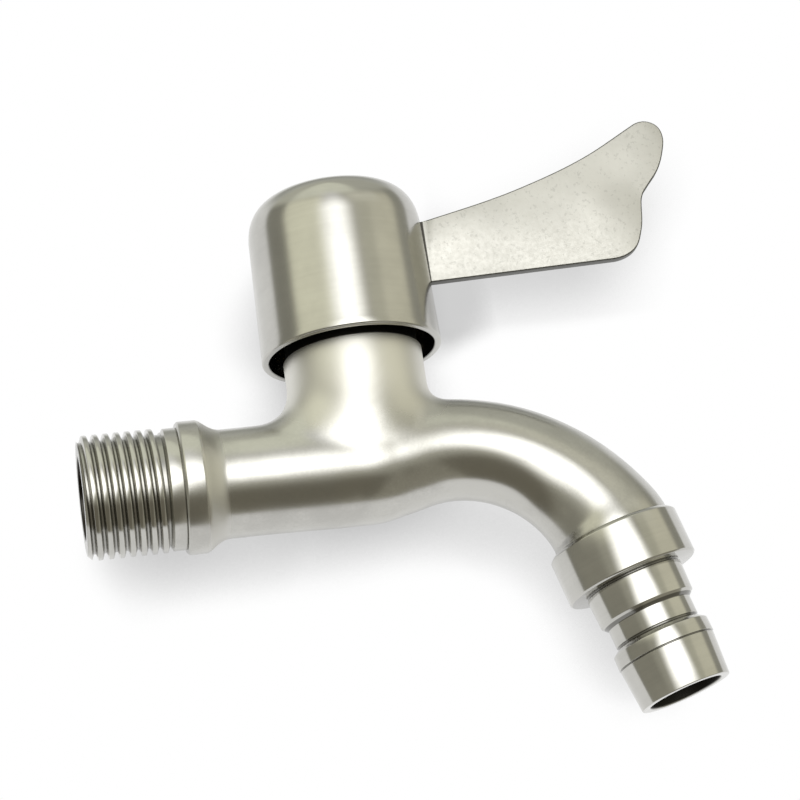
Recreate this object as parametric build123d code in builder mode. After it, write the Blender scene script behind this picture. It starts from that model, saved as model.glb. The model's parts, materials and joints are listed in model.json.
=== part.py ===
from build123d import *
import os
from math import cos, radians, sin

os.makedirs("parts", exist_ok=True)

# A wall-mounted bib tap in stainless steel. +X runs from the wall to the spout, +Z is up,
# and the origin is the centre of the inlet's open end. Lengths are in millimetres.

# Inlet: a G 1/2 pipe thread, then a round collar that meets the wall
THREAD_R = 10.478
THREAD_PITCH = 1.814
THREAD_DEPTH = 1.1
GROOVE_HALF_WIDTH = 0.68
GROOVE_FLOOR_HALF_WIDTH = 0.12
GROOVE_OVERCUT = 0.4
THREAD_LEAD_IN = 0.9
SHOULDER_X = 16.6
LAND_LENGTH = 1.9
LAND_STEP = 0.198
COLLAR_R = 11.2
COLLAR_LENGTH = 3.6
COLLAR_SLOPE = 1.2
COLLAR_EDGE_R = 0.35
WAIST_R = 9.2
WAIST_X = 26.6
INLET_BORE_R = 7.0
INLET_BORE_DEPTH = 36.2

# Tube: it sways up a little under the neck, arches over and turns down to the nozzle
TUBE_START_X = 29.0
SWAY_X = 43.8
SWAY_R = 56.0
SWAY_ANGLE = 12.0
ARCH_R = 29.0
ARCH_END_HEADING = 60.0
DROP_R = 14.0
NOZZLE_HEADING = 74.5
BELLY_R = 9.45
SPOUT_START_R = 9.1
SPOUT_THIN_R = 8.6
SPOUT_THIN_HEADING = 16.0
SPOUT_LOW_R = 8.95
SPOUT_LOW_HEADING = 40.0
SPOUT_FLARE_R = 9.75
SPOUT_END_R = 10.3
SPOUT_BORE_R = 5.4
SPOUT_BORE_TAIL = 0.5
SPIGOT_R = 8.331
SPIGOT_LENGTH = 5.6
SPIGOT_EDGE = 0.6

# Neck: it holds the valve and stands up into the cap
VALVE_X = 48.5
NECK_R = 11.9
NECK_TOP_Z = 24.6
NECK_ROUND_Z = 4.0
NECK_FILLET = 3.5
NECK_EDGE = 0.5
NECK_BORE_R = 10.55
NECK_BORE_FLOOR_Z = 14.5
CHAMBER_R = 9.7
SEAT_Z = 1.5
PORT_R = 4.5
DIP_R = 3.8
DIP_Z = -4.2
DIP_START_X = 33.0

# Nozzle: a plain collar that screws on the spigot, then a stepped hose tail
NOZZLE_COLLAR_R = 11.5
NOZZLE_COLLAR_LENGTH = 8.6
NOZZLE_COLLAR_TOP_EDGE = 0.6
NOZZLE_COLLAR_LOW_EDGE = 0.3
BARB_TOP_R = 8.6
BARB_TOP_END_R = 8.4
BARB_TOP_LENGTH = 5.5
BARB_SLOPE = 0.95
TAIL_WAIST_R = 7.45
TAIL_WAIST_LENGTH = 3.3
HOSE_LAND_R = 8.6
HOSE_LAND_LENGTH = 2.5
HOSE_STEP = 0.12
TAIL_TIP_R = 7.96
TAIL_TAPER_LENGTH = 7.6
OUTLET_BORE_R = 6.3
OUTLET_EDGE = 0.3
SOCKET_CLEARANCE = 0.1
WASHER_THICKNESS = 1.5
WASHER_CLEARANCE = 0.1

# Valve: a quarter-turn ceramic cartridge that screws into the neck
THREAD_FIT = 0.08
CAGE_R = 8.4
CAGE_BORE_R = 7.6
CAGE_BOTTOM_GAP = 0.9
CAGE_TOP_Z = 14.9
SEAL_HEIGHT = 2.8
SEAL_BORE_R = 5.3
SEAL_RING_BORE_R = 4.6
SEAL_RING_MARGIN = 0.3
DISC_FIT = 0.05
FIXED_DISC_THICKNESS = 3.0
MOVING_DISC_THICKNESS = 2.5
MOVING_DISC_R = 7.3
DISC_FILM = 0.02
DISC_PORT_R = 3.3
DISC_PORT_WIDTH = 2.6
DISC_PORT_ARC = 60.0
KEY_WIDTH = 2.4
KEY_R = 8.25
KEY_FIT = 0.1
DRIVE_WIDTH = 2.6
DRIVE_DEPTH = 1.2
DRIVE_FIT = 0.05
FOOT_WIDTH = 3.6
FOOT_HEIGHT = 3.8
WINDOW_WIDTH = 4.6
WINDOW_COUNT = 4
FLANGE_R = 7.3
FLANGE_THICKNESS = 1.5
SLIP_WASHER_THICKNESS = 0.7
SLIP_WASHER_FIT = 0.05
STOP_LUG_FROM = 200.0
STOP_LUG_ANGLE = 20.0
STOP_LUG_R = 6.1
STOP_PLAY_ANGLE = 1.0
STOP_FIT = 0.1
TURN_ANGLE = 90.0
SPINDLE_R = 5.5
SPINDLE_FIT = 0.05
O_RING_SECTION_R = 0.59
O_RING_FIT = 0.02
O_RING_GROOVE_WIDTH = 1.7
O_RING_LOWER_Z = 19.2
O_RING_UPPER_Z = 23.0
GASKET_THICKNESS = 1.0
GASKET_BORE_R = 10.6
GASKET_R = 11.8
HEX_ACROSS_FLATS = 21.0
HEX_HEIGHT = 4.0
HEX_EDGE = 0.5
BARREL_R = 7.5
BARREL_HEIGHT = 3.4
CIRCLIP_GROOVE_R = 4.4
CIRCLIP_R = 6.9
CIRCLIP_THICKNESS = 0.9
CIRCLIP_FIT = 0.05
CIRCLIP_OPENING = 50.0
SHANK_CLEAR_Z = 1.0
SPLINE_R = 4.0
SPLINE_LENGTH = 7.0
SPLINE_COUNT = 20
SPLINE_DEPTH = 0.5
SPINDLE_EDGE = 0.4

# Handle: a domed sheet cap, a wing blade through its side and a solid insert inside
CAP_RIM_Z = 20.6
CAP_RIM_R = 15.5
CAP_SHOULDER_Z = 43.8
CAP_SHOULDER_R = 14.95
CAP_DOME_R = 6.0
CAP_CROWN = 0.4
CAP_WALL = 1.2
BLADE_THICKNESS = 1.8
BLADE_EDGE_R = 0.35
BLADE_SLOT_FIT = 0.1
BLADE_TONGUE_X = 7.8
BLADE_ROOT_X = 15.2
BLADE_ROOT_LOW_Z = 32.1
BLADE_ROOT_TOP_Z = 43.4
INSERT_LOW_Z = 35.6
INSERT_BORE_FIT = 0.05
INSERT_BORE_ROOM = 0.5
GRUB_R = 2.5
GRUB_FIT = 0.05
GRUB_RECESS = 3.35
GRUB_Z = 39.6
GRUB_POINT = 0.5
GRUB_SOCKET_AF = 2.5
GRUB_SOCKET_DEPTH = 2.6
GRUB_ACCESS_R = 2.9

# The wing's outline: places out from the valve's axis and up from the inlet's axis
BLADE_TOP_MIDDLE = (33.5, 48.1)
BLADE_TOP_RISE = (46.0, 52.9)
BLADE_TOP_END = (55.6, 58.2)
BLADE_TIP = (60.75, 55.2)
BLADE_WING_UPPER = (60.2, 52.6)
BLADE_WING_LOWER = (58.7, 49.2)
BLADE_NOTCH_TOP = (55.8, 45.6)
BLADE_NOTCH_LOW = (54.8, 43.6)
BLADE_END_LOW = (53.9, 38.2)
BLADE_CORNER_MIDDLE = (52.3, 34.9)
BLADE_CORNER_END = (48.0, 33.2)


def turn_down(place, radius, turn):
    """Where a centreline is after an arc of this radius; a negative turn bends it up."""
    x, z, heading = place
    before, after = radians(heading), radians(heading + turn)
    side = radius if turn > 0 else -radius
    return (x + side * (sin(after) - sin(before)), z + side * (cos(after) - cos(before)), heading + turn)


def section_plane(place):
    """The plane square to the centreline at a place on it."""
    x, z, heading = place
    return Plane(
        origin=(x, 0, z), x_dir=(0, 1, 0), z_dir=(cos(radians(heading)), 0, -sin(radians(heading)))
    )


def point_on(place):
    """A centreline place as a point in space."""
    return (place[0], 0, place[1])


def valve_level(z):
    """The level plane at a height, centred on the valve's axis."""
    return Plane((VALVE_X, 0, z))


def sector(inner_r, outer_r, start, angle):
    """A ring sector, as a sketch to add or to cut out."""
    with BuildSketch(Plane.XY) as ring:
        with BuildLine():
            inner = CenterArc((0, 0), inner_r, start, angle)
            outer = CenterArc((0, 0), outer_r, start, angle)
            Line(inner @ 0, outer @ 0)
            Line(inner @ 1, outer @ 1)
        make_face()
    return ring.sketch


def cap_outline(inset):
    """Half the cap's section as a sketch, set in from the outer face by inset."""
    rim = (CAP_RIM_R - inset, CAP_RIM_Z)
    shoulder = (CAP_SHOULDER_R - inset, CAP_SHOULDER_Z)
    dome_centre = (CAP_SHOULDER_R - CAP_DOME_R, CAP_SHOULDER_Z)
    top = (0, CAP_SHOULDER_Z + CAP_DOME_R + CAP_CROWN - inset)
    with BuildSketch(Plane.XY) as half:
        with BuildLine():
            Line((0, CAP_RIM_Z), rim)
            Line(rim, shoulder)
            corner = CenterArc(dome_centre, CAP_DOME_R - inset, 0, 90)
            Spline(corner @ 1, top, tangents=[(-1, 0), (-1, 0)])
            Line(top, (0, CAP_RIM_Z))
        make_face()
    return half.sketch


def cap_inner_r(z):
    """The inside radius of the cap's side at a height."""
    share = (z - CAP_RIM_Z) / (CAP_SHOULDER_Z - CAP_RIM_Z)
    return CAP_RIM_R - CAP_WALL + share * (CAP_SHOULDER_R - CAP_RIM_R)


def joins_neck(edge):
    """Whether an edge is where the neck meets the tube, and not a seam of the tube."""
    box = edge.bounding_box()
    reach = NECK_R + NECK_EDGE
    level = box.max.Z < NECK_BORE_FLOOR_Z
    return box.min.X > VALVE_X - reach and box.max.X < VALVE_X + reach and level


# The spout's centreline, from the sway under the neck to the nozzle's seat
sway_start = (SWAY_X, 0.0, 0.0)
arch_start = turn_down(sway_start, SWAY_R, -SWAY_ANGLE)
arch_thin = turn_down(arch_start, ARCH_R, SWAY_ANGLE + SPOUT_THIN_HEADING)
arch_low = turn_down(arch_start, ARCH_R, SWAY_ANGLE + SPOUT_LOW_HEADING)
arch_middle = turn_down(arch_start, ARCH_R, (SWAY_ANGLE + ARCH_END_HEADING) / 2)
arch_end = turn_down(arch_start, ARCH_R, SWAY_ANGLE + ARCH_END_HEADING)
drop_middle = turn_down(arch_end, DROP_R, (NOZZLE_HEADING - ARCH_END_HEADING) / 2)
spout_end = turn_down(arch_end, DROP_R, NOZZLE_HEADING - ARCH_END_HEADING)

# Planes and axes of the nozzle, the valve and the grub screw
nozzle_plane = section_plane(spout_end)
nozzle_axis = Axis(nozzle_plane.origin, nozzle_plane.z_dir)
nozzle_section = Plane(
    nozzle_plane.origin, x_dir=nozzle_plane.x_dir, z_dir=nozzle_plane.x_dir.cross(nozzle_plane.z_dir)
)
valve_axis = Axis((VALVE_X, 0, 0), (0, 0, 1))
valve_section = Plane((VALVE_X, 0, 0), x_dir=(1, 0, 0), z_dir=(0, -1, 0))
grub_plane = Plane((VALVE_X, 0, GRUB_Z), x_dir=(1, 0, 0), z_dir=(0, 1, 0))
grub_length = cap_inner_r(GRUB_Z) - GRUB_RECESS - SPLINE_R

# Heights of the valve's pieces, stacked up from the seat
cage_bottom_z = SEAT_Z + CAGE_BOTTOM_GAP
fixed_disc_z = SEAT_Z + SEAL_HEIGHT
moving_disc_z = fixed_disc_z + FIXED_DISC_THICKNESS + DISC_FILM
foot_z = moving_disc_z + MOVING_DISC_THICKNESS
flange_z = foot_z + FOOT_HEIGHT
slip_washer_z = flange_z + FLANGE_THICKNESS
cage_roof_z = slip_washer_z + SLIP_WASHER_THICKNESS + SLIP_WASHER_FIT
hex_z = NECK_TOP_Z + GASKET_THICKNESS
barrel_z = hex_z + HEX_HEIGHT
barrel_top_z = barrel_z + BARREL_HEIGHT
circlip_z = barrel_top_z + CIRCLIP_FIT
shank_top_z = circlip_z + CIRCLIP_THICKNESS + SHANK_CLEAR_Z
spindle_top_z = shank_top_z + SPLINE_LENGTH

# Radii that follow from a fit
spindle_bore_r = SPINDLE_R + SPINDLE_FIT
o_ring_groove_r = spindle_bore_r - O_RING_FIT - 2 * O_RING_SECTION_R
o_ring_centre_r = o_ring_groove_r + O_RING_SECTION_R
port_inner_r = DISC_PORT_R - DISC_PORT_WIDTH / 2
port_outer_r = DISC_PORT_R + DISC_PORT_WIDTH / 2
socket_r = SPIGOT_R + SOCKET_CLEARANCE
socket_depth = SPIGOT_LENGTH + WASHER_THICKNESS


# The groove of the inlet thread: a right-handed helix that starts before the pipe's end
land_start_x = SHOULDER_X - LAND_LENGTH
groove_start_x = -THREAD_PITCH
groove_end_x = land_start_x - THREAD_PITCH / 2
groove_flank = (GROOVE_HALF_WIDTH - GROOVE_FLOOR_HALF_WIDTH) / THREAD_DEPTH
groove_top_half_width = GROOVE_HALF_WIDTH + groove_flank * GROOVE_OVERCUT
with BuildPart() as thread_groove:
    with BuildLine():
        helix = Helix(
            THREAD_PITCH, groove_end_x - groove_start_x, THREAD_R, (groove_start_x, 0, 0), (1, 0, 0)
        )
    groove_foot = helix @ 0
    with BuildSketch(Plane(groove_foot, x_dir=(0, groove_foot.Y, groove_foot.Z), z_dir=helix % 0)):
        with BuildLine():
            Polyline(
                (GROOVE_OVERCUT, -groove_top_half_width),
                (-THREAD_DEPTH, -GROOVE_FLOOR_HALF_WIDTH),
                (-THREAD_DEPTH, GROOVE_FLOOR_HALF_WIDTH),
                (GROOVE_OVERCUT, groove_top_half_width),
                close=True,
            )
        make_face()
    sweep(path=helix, is_frenet=True)

# Tap body: one casting with the inlet, the neck, the arch and the spigot
with BuildPart() as tap_body:
    with BuildSketch(Plane.XZ):
        with BuildLine():
            collar_end = (SHOULDER_X + COLLAR_LENGTH, COLLAR_R)
            slope_end = (SHOULDER_X + COLLAR_LENGTH + COLLAR_SLOPE, COLLAR_R - COLLAR_SLOPE)
            Polyline(
                (0, 0),
                (0, THREAD_R - THREAD_LEAD_IN),
                (THREAD_LEAD_IN, THREAD_R),
                (land_start_x, THREAD_R),
                (land_start_x + LAND_STEP, THREAD_R - LAND_STEP),
                (SHOULDER_X, THREAD_R - LAND_STEP),
                (SHOULDER_X, COLLAR_R),
                collar_end,
                slope_end,
            )
            Spline(slope_end, (WAIST_X, WAIST_R), tangents=[(1, -1), (1, 0)])
            Polyline((WAIST_X, WAIST_R), (TUBE_START_X, WAIST_R), (TUBE_START_X, 0), (0, 0))
        make_face()
    revolve(axis=Axis.X)
    circles = tap_body.edges().filter_by(GeomType.CIRCLE)
    fillet(circles.group_by(SortBy.RADIUS)[-1], COLLAR_EDGE_R)
    add(thread_groove.part, mode=Mode.SUBTRACT)

    # Round sections from the waist to the spout's end
    tube_sections = [
        ((TUBE_START_X, 0.0, 0.0), WAIST_R),
        (((TUBE_START_X + SWAY_X) / 2, 0.0, 0.0), (WAIST_R + BELLY_R) / 2),
        (sway_start, BELLY_R),
        (arch_start, SPOUT_START_R),
        (arch_thin, SPOUT_THIN_R),
        (arch_low, SPOUT_LOW_R),
        (arch_end, SPOUT_FLARE_R),
        (spout_end, SPOUT_END_R),
    ]
    for place, radius in tube_sections:
        with BuildSketch(section_plane(place)):
            Circle(radius)
    loft()

    # The neck is round below as well, where it sinks into the tube
    with BuildSketch(valve_section):
        with BuildLine():
            Line((0, NECK_ROUND_Z - NECK_R), (0, NECK_TOP_Z))
            Polyline((0, NECK_TOP_Z), (NECK_R, NECK_TOP_Z), (NECK_R, NECK_ROUND_Z))
            CenterArc((0, NECK_ROUND_Z), NECK_R, -90, 90)
        make_face()
    revolve(axis=valve_axis)
    fillet(tap_body.edges().filter_by(GeomType.BSPLINE).filter_by(joins_neck), NECK_FILLET)
    chamfer(tap_body.edges().group_by(Axis.Z)[-1], NECK_EDGE)

    # Spigot for the nozzle
    with BuildSketch(nozzle_plane):
        Circle(SPIGOT_R)
    extrude(amount=SPIGOT_LENGTH)
    chamfer(tap_body.edges().filter_by(GeomType.CIRCLE).sort_by(nozzle_axis)[-1], SPIGOT_EDGE)

    # The spout's bore follows the centreline from the valve's chamber through the spigot
    with BuildLine() as bore_path:
        ThreePointArc(point_on(arch_start), point_on(arch_middle), point_on(arch_end))
        ThreePointArc(point_on(arch_end), point_on(drop_middle), point_on(spout_end))
        Line(point_on(spout_end), nozzle_plane.offset(SPIGOT_LENGTH + SPOUT_BORE_TAIL).origin)
    with BuildSketch(section_plane(arch_start)):
        Circle(SPOUT_BORE_R)
    sweep(path=bore_path.line, mode=Mode.SUBTRACT)

    # The inlet's bore dips under the seat and rises through the port into the chamber
    with BuildSketch(Plane.YZ):
        Circle(INLET_BORE_R)
    extrude(amount=INLET_BORE_DEPTH, mode=Mode.SUBTRACT)
    with BuildSketch(Plane.YZ.offset(DIP_START_X)):
        with Locations((0, DIP_Z)):
            Circle(DIP_R)
    extrude(amount=VALVE_X + DIP_R - DIP_START_X, mode=Mode.SUBTRACT)
    with BuildSketch(valve_level(DIP_Z)):
        Circle(PORT_R)
    extrude(amount=SEAT_Z - DIP_Z, mode=Mode.SUBTRACT)
    with BuildSketch(valve_level(SEAT_Z)):
        Circle(CHAMBER_R)
    extrude(amount=NECK_BORE_FLOOR_Z - SEAT_Z, mode=Mode.SUBTRACT)
    with BuildSketch(valve_level(NECK_BORE_FLOOR_Z)):
        Circle(NECK_BORE_R)
    extrude(amount=NECK_TOP_Z - NECK_BORE_FLOOR_Z, mode=Mode.SUBTRACT)

# Hose nozzle: a collar that screws on the spigot and a tail that the hose is pushed over
with BuildPart() as hose_nozzle:
    with BuildSketch(nozzle_section):
        with BuildLine():
            reach = NOZZLE_COLLAR_LENGTH
            outline = [
                (0, 0),
                (NOZZLE_COLLAR_R - NOZZLE_COLLAR_TOP_EDGE, 0),
                (NOZZLE_COLLAR_R, NOZZLE_COLLAR_TOP_EDGE),
                (NOZZLE_COLLAR_R, reach - NOZZLE_COLLAR_LOW_EDGE),
                (NOZZLE_COLLAR_R - NOZZLE_COLLAR_LOW_EDGE, reach),
                (BARB_TOP_R, reach),
            ]
            tail_steps = [
                (BARB_TOP_LENGTH, BARB_TOP_END_R),
                (BARB_SLOPE, TAIL_WAIST_R),
                (TAIL_WAIST_LENGTH, TAIL_WAIST_R),
                (HOSE_LAND_R - TAIL_WAIST_R, HOSE_LAND_R),
                (HOSE_LAND_LENGTH, HOSE_LAND_R),
                (0, HOSE_LAND_R - HOSE_STEP),
                (TAIL_TAPER_LENGTH, TAIL_TIP_R),
            ]
            for step, radius in tail_steps:
                reach += step
                outline.append((radius, reach))
            Polyline(*outline, (0, reach), close=True)
        make_face()
    revolve(axis=nozzle_axis)
    with BuildSketch(nozzle_plane):
        Circle(socket_r)
    extrude(amount=socket_depth, mode=Mode.SUBTRACT)
    with BuildSketch(nozzle_plane):
        Circle(OUTLET_BORE_R)
    extrude(amount=reach, mode=Mode.SUBTRACT)
    mouth_rims = hose_nozzle.edges().filter_by(GeomType.CIRCLE).sort_by(nozzle_axis)[-2:]
    chamfer(mouth_rims.sort_by(SortBy.RADIUS)[0], OUTLET_EDGE)

# Washer between the spigot's end and the nozzle's inner shoulder
with BuildPart() as nozzle_washer:
    with BuildSketch(nozzle_plane.offset(SPIGOT_LENGTH)):
        Circle(socket_r - WASHER_CLEARANCE)
        Circle(OUTLET_BORE_R, mode=Mode.SUBTRACT)
    extrude(amount=WASHER_THICKNESS)

# Cartridge housing: a screw-in body with a windowed cage below and a hexagon above
with BuildPart() as cartridge_housing:
    with BuildSketch(valve_level(cage_bottom_z)):
        Circle(CAGE_R)
    extrude(amount=CAGE_TOP_Z - cage_bottom_z)
    with BuildSketch(valve_level(CAGE_TOP_Z)):
        Circle(NECK_BORE_R - THREAD_FIT)
    extrude(amount=hex_z - CAGE_TOP_Z)
    with BuildSketch(valve_level(hex_z)):
        RegularPolygon(HEX_ACROSS_FLATS / 2, 6, major_radius=False)
    extrude(amount=HEX_HEIGHT)
    chamfer(cartridge_housing.edges().group_by(Axis.Z)[-1], HEX_EDGE)
    with BuildSketch(valve_level(barrel_z)):
        Circle(BARREL_R)
    extrude(amount=BARREL_HEIGHT)
    with BuildSketch(valve_level(cage_bottom_z)):
        Circle(CAGE_BORE_R)
    extrude(amount=cage_roof_z - cage_bottom_z, mode=Mode.SUBTRACT)
    with BuildSketch(valve_level(cage_roof_z)):
        Circle(spindle_bore_r)
    extrude(amount=barrel_top_z - cage_roof_z, mode=Mode.SUBTRACT)
    with BuildSketch(valve_level(foot_z)):
        with PolarLocations(CAGE_R, WINDOW_COUNT, start_angle=180 / WINDOW_COUNT):
            Rectangle(CAGE_R, WINDOW_WIDTH)
    extrude(amount=FOOT_HEIGHT, mode=Mode.SUBTRACT)
    with BuildSketch(valve_level(cage_bottom_z)):
        Rectangle(3 * CAGE_R, KEY_WIDTH + 2 * KEY_FIT)
    extrude(amount=moving_disc_z - cage_bottom_z, mode=Mode.SUBTRACT)
    with BuildSketch(valve_level(flange_z + STOP_FIT)):
        add(sector(STOP_LUG_R, (CAGE_BORE_R + CAGE_R) / 2, STOP_LUG_FROM, STOP_LUG_ANGLE))
    extrude(amount=FLANGE_THICKNESS - 2 * STOP_FIT)

# Gasket under the hexagon
with BuildPart() as housing_gasket:
    with BuildSketch(valve_level(NECK_TOP_Z)):
        Circle(GASKET_R)
        Circle(GASKET_BORE_R, mode=Mode.SUBTRACT)
    extrude(amount=GASKET_THICKNESS)

# Rubber seal between the seat and the fixed disc
with BuildPart() as seat_seal:
    with BuildSketch(valve_level(SEAT_Z)):
        Circle(CAGE_BORE_R - DISC_FIT)
        Circle(SEAL_BORE_R, mode=Mode.SUBTRACT)
    extrude(amount=SEAL_HEIGHT)

# Stiff ring that keeps the seal from folding in
with BuildPart() as seal_ring:
    with BuildSketch(valve_level(SEAT_Z + SEAL_RING_MARGIN)):
        Circle(SEAL_BORE_R)
        Circle(SEAL_RING_BORE_R, mode=Mode.SUBTRACT)
    extrude(amount=SEAL_HEIGHT - 2 * SEAL_RING_MARGIN)

# Fixed ceramic disc: its ports lie across the tap and its keys sit in the cage's slots
with BuildPart() as fixed_disc:
    with BuildSketch(valve_level(fixed_disc_z)):
        Circle(CAGE_BORE_R - DISC_FIT)
        Rectangle(2 * KEY_R, KEY_WIDTH)
        for side in (90, 270):
            port = sector(port_inner_r, port_outer_r, side - DISC_PORT_ARC / 2, DISC_PORT_ARC)
            add(port, mode=Mode.SUBTRACT)
    extrude(amount=FIXED_DISC_THICKNESS)

# Moving ceramic disc: shut, its ports lie a quarter turn from the fixed disc's
with BuildPart() as moving_disc:
    with BuildSketch(valve_level(moving_disc_z)):
        Circle(MOVING_DISC_R)
        for side in (0, 180):
            port = sector(port_inner_r, port_outer_r, side - DISC_PORT_ARC / 2, DISC_PORT_ARC)
            add(port, mode=Mode.SUBTRACT)
    extrude(amount=MOVING_DISC_THICKNESS)
    with BuildSketch(valve_level(foot_z)):
        Rectangle(DRIVE_WIDTH + 2 * DRIVE_FIT, 3 * MOVING_DISC_R)
    extrude(amount=-DRIVE_DEPTH - DRIVE_FIT, mode=Mode.SUBTRACT)

# Spindle: a tongue that drives the disc, a foot, a flange with the stop notch and a shank
with BuildPart() as spindle:
    with BuildSketch(valve_level(foot_z - DRIVE_DEPTH)):
        Circle(MOVING_DISC_R)
        Rectangle(DRIVE_WIDTH, 3 * MOVING_DISC_R, mode=Mode.INTERSECT)
    extrude(amount=DRIVE_DEPTH)
    with BuildSketch(valve_level(foot_z)):
        Circle(FLANGE_R)
        Rectangle(FOOT_WIDTH, 3 * FLANGE_R, mode=Mode.INTERSECT)
    extrude(amount=FOOT_HEIGHT)
    with BuildSketch(valve_level(flange_z)):
        Circle(FLANGE_R)
        notch_from = STOP_LUG_FROM - TURN_ANGLE - STOP_PLAY_ANGLE
        notch_angle = TURN_ANGLE + STOP_LUG_ANGLE + 2 * STOP_PLAY_ANGLE
        notch = sector(STOP_LUG_R - STOP_FIT, 2 * FLANGE_R, notch_from, notch_angle)
        add(notch, mode=Mode.SUBTRACT)
    extrude(amount=FLANGE_THICKNESS)
    with BuildSketch(valve_level(slip_washer_z)):
        Circle(SPINDLE_R)
    extrude(amount=shank_top_z - slip_washer_z)
    with BuildSketch(valve_level(shank_top_z)):
        Circle(SPLINE_R)
    extrude(amount=SPLINE_LENGTH)
    chamfer(spindle.edges().sort_by(Axis.Z)[-1], SPINDLE_EDGE)
    for z in (O_RING_LOWER_Z, O_RING_UPPER_Z):
        with BuildSketch(valve_level(z - O_RING_GROOVE_WIDTH / 2)):
            Circle(2 * SPINDLE_R)
            Circle(o_ring_groove_r, mode=Mode.SUBTRACT)
        extrude(amount=O_RING_GROOVE_WIDTH, mode=Mode.SUBTRACT)
    with BuildSketch(valve_level(barrel_top_z)):
        Circle(2 * SPINDLE_R)
        Circle(CIRCLIP_GROOVE_R, mode=Mode.SUBTRACT)
    extrude(amount=CIRCLIP_THICKNESS + 2 * CIRCLIP_FIT, mode=Mode.SUBTRACT)
    with BuildSketch(valve_level(shank_top_z)):
        with PolarLocations(SPLINE_R, SPLINE_COUNT, start_angle=180 / SPLINE_COUNT):
            RegularPolygon(SPLINE_DEPTH, 3, rotation=180)
    extrude(amount=SPLINE_LENGTH, mode=Mode.SUBTRACT)

# Plastic slip washer between the spindle's flange and the roof of the cage
with BuildPart() as slip_washer:
    with BuildSketch(valve_level(slip_washer_z)):
        Circle(FLANGE_R)
        Circle(SPINDLE_R, mode=Mode.SUBTRACT)
    extrude(amount=SLIP_WASHER_THICKNESS)

# The two rubber rings that seal the spindle
with BuildPart() as spindle_o_ring_lower:
    with BuildSketch(valve_section):
        with Locations((o_ring_centre_r, O_RING_LOWER_Z)):
            Circle(O_RING_SECTION_R)
    revolve(axis=valve_axis)

with BuildPart() as spindle_o_ring_upper:
    with BuildSketch(valve_section):
        with Locations((o_ring_centre_r, O_RING_UPPER_Z)):
            Circle(O_RING_SECTION_R)
    revolve(axis=valve_axis)

# Circlip that keeps the spindle down in its housing
with BuildPart() as spindle_circlip:
    with BuildSketch(valve_level(circlip_z)):
        add(sector(CIRCLIP_GROOVE_R, CIRCLIP_R, CIRCLIP_OPENING / 2, 360 - CIRCLIP_OPENING))
    extrude(amount=CIRCLIP_THICKNESS)

# Handle cap: deep-drawn sheet with a slot for the blade and a hole for the screw's key
with BuildPart() as handle_cap:
    with BuildSketch(valve_section):
        add(cap_outline(0))
    revolve(axis=valve_axis)
    with BuildSketch(valve_section):
        add(cap_outline(CAP_WALL))
    revolve(axis=valve_axis, mode=Mode.SUBTRACT)
    with BuildSketch(valve_section):
        with Locations((CAP_RIM_R, (BLADE_ROOT_LOW_Z + BLADE_ROOT_TOP_Z) / 2)):
            Rectangle(CAP_RIM_R / 2, BLADE_ROOT_TOP_Z - BLADE_ROOT_LOW_Z + 2 * BLADE_SLOT_FIT)
    extrude(amount=BLADE_THICKNESS / 2 + BLADE_SLOT_FIT, both=True, mode=Mode.SUBTRACT)
    with BuildSketch(grub_plane):
        Circle(GRUB_ACCESS_R)
    extrude(amount=2 * CAP_RIM_R, mode=Mode.SUBTRACT)

# Lever blade: a flat wing with its tongue inside the cap
with BuildPart() as lever_blade:
    with BuildSketch(valve_section):
        with BuildLine():
            blade_root = (BLADE_ROOT_X, BLADE_ROOT_TOP_Z)
            top_edge = Spline(blade_root, BLADE_TOP_MIDDLE, BLADE_TOP_RISE, BLADE_TOP_END)
            tip = TangentArc(BLADE_TOP_END, BLADE_TIP, tangent=top_edge % 1)
            wing = Spline(
                BLADE_TIP, BLADE_WING_UPPER, BLADE_WING_LOWER, BLADE_NOTCH_TOP, tangents=[tip % 1, (-1, -1)]
            )
            TangentArc(BLADE_NOTCH_TOP, BLADE_NOTCH_LOW, tangent=wing % 1)
            Line(BLADE_NOTCH_LOW, BLADE_END_LOW)
            ThreePointArc(BLADE_END_LOW, BLADE_CORNER_MIDDLE, BLADE_CORNER_END)
            Polyline(
                BLADE_CORNER_END,
                (BLADE_ROOT_X, BLADE_ROOT_LOW_Z),
                (BLADE_TONGUE_X, BLADE_ROOT_LOW_Z),
                (BLADE_TONGUE_X, BLADE_ROOT_TOP_Z),
                blade_root,
            )
        make_face()
    extrude(amount=BLADE_THICKNESS / 2, both=True)
    sides = lever_blade.edges().group_by(Axis.Y)
    wing_rims = [rim for rim in sides[0] + sides[-1] if rim.center().X > VALVE_X + BLADE_ROOT_X + BLADE_EDGE_R]
    fillet(wing_rims, BLADE_EDGE_R)

# Handle insert: pressed into the cap, it grips the spline and the blade's tongue
with BuildPart() as handle_insert:
    with BuildSketch(valve_section):
        with BuildLine():
            Polyline(
                (0, INSERT_LOW_Z),
                (cap_inner_r(INSERT_LOW_Z), INSERT_LOW_Z),
                (cap_inner_r(CAP_SHOULDER_Z), CAP_SHOULDER_Z),
                (0, CAP_SHOULDER_Z),
                close=True,
            )
        make_face()
    revolve(axis=valve_axis)
    with BuildSketch(valve_level(INSERT_LOW_Z)):
        Circle(SPLINE_R + INSERT_BORE_FIT)
    extrude(amount=spindle_top_z + INSERT_BORE_ROOM - INSERT_LOW_Z, mode=Mode.SUBTRACT)
    with BuildSketch(valve_section):
        with Locations((BLADE_TONGUE_X, BLADE_ROOT_TOP_Z)):
            Rectangle(CAP_RIM_R, BLADE_ROOT_TOP_Z - BLADE_ROOT_LOW_Z, align=(Align.MIN, Align.MAX))
    extrude(amount=BLADE_THICKNESS / 2, both=True, mode=Mode.SUBTRACT)
    with BuildSketch(grub_plane):
        Circle(GRUB_R + GRUB_FIT)
    extrude(amount=2 * CAP_RIM_R, mode=Mode.SUBTRACT)

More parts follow.
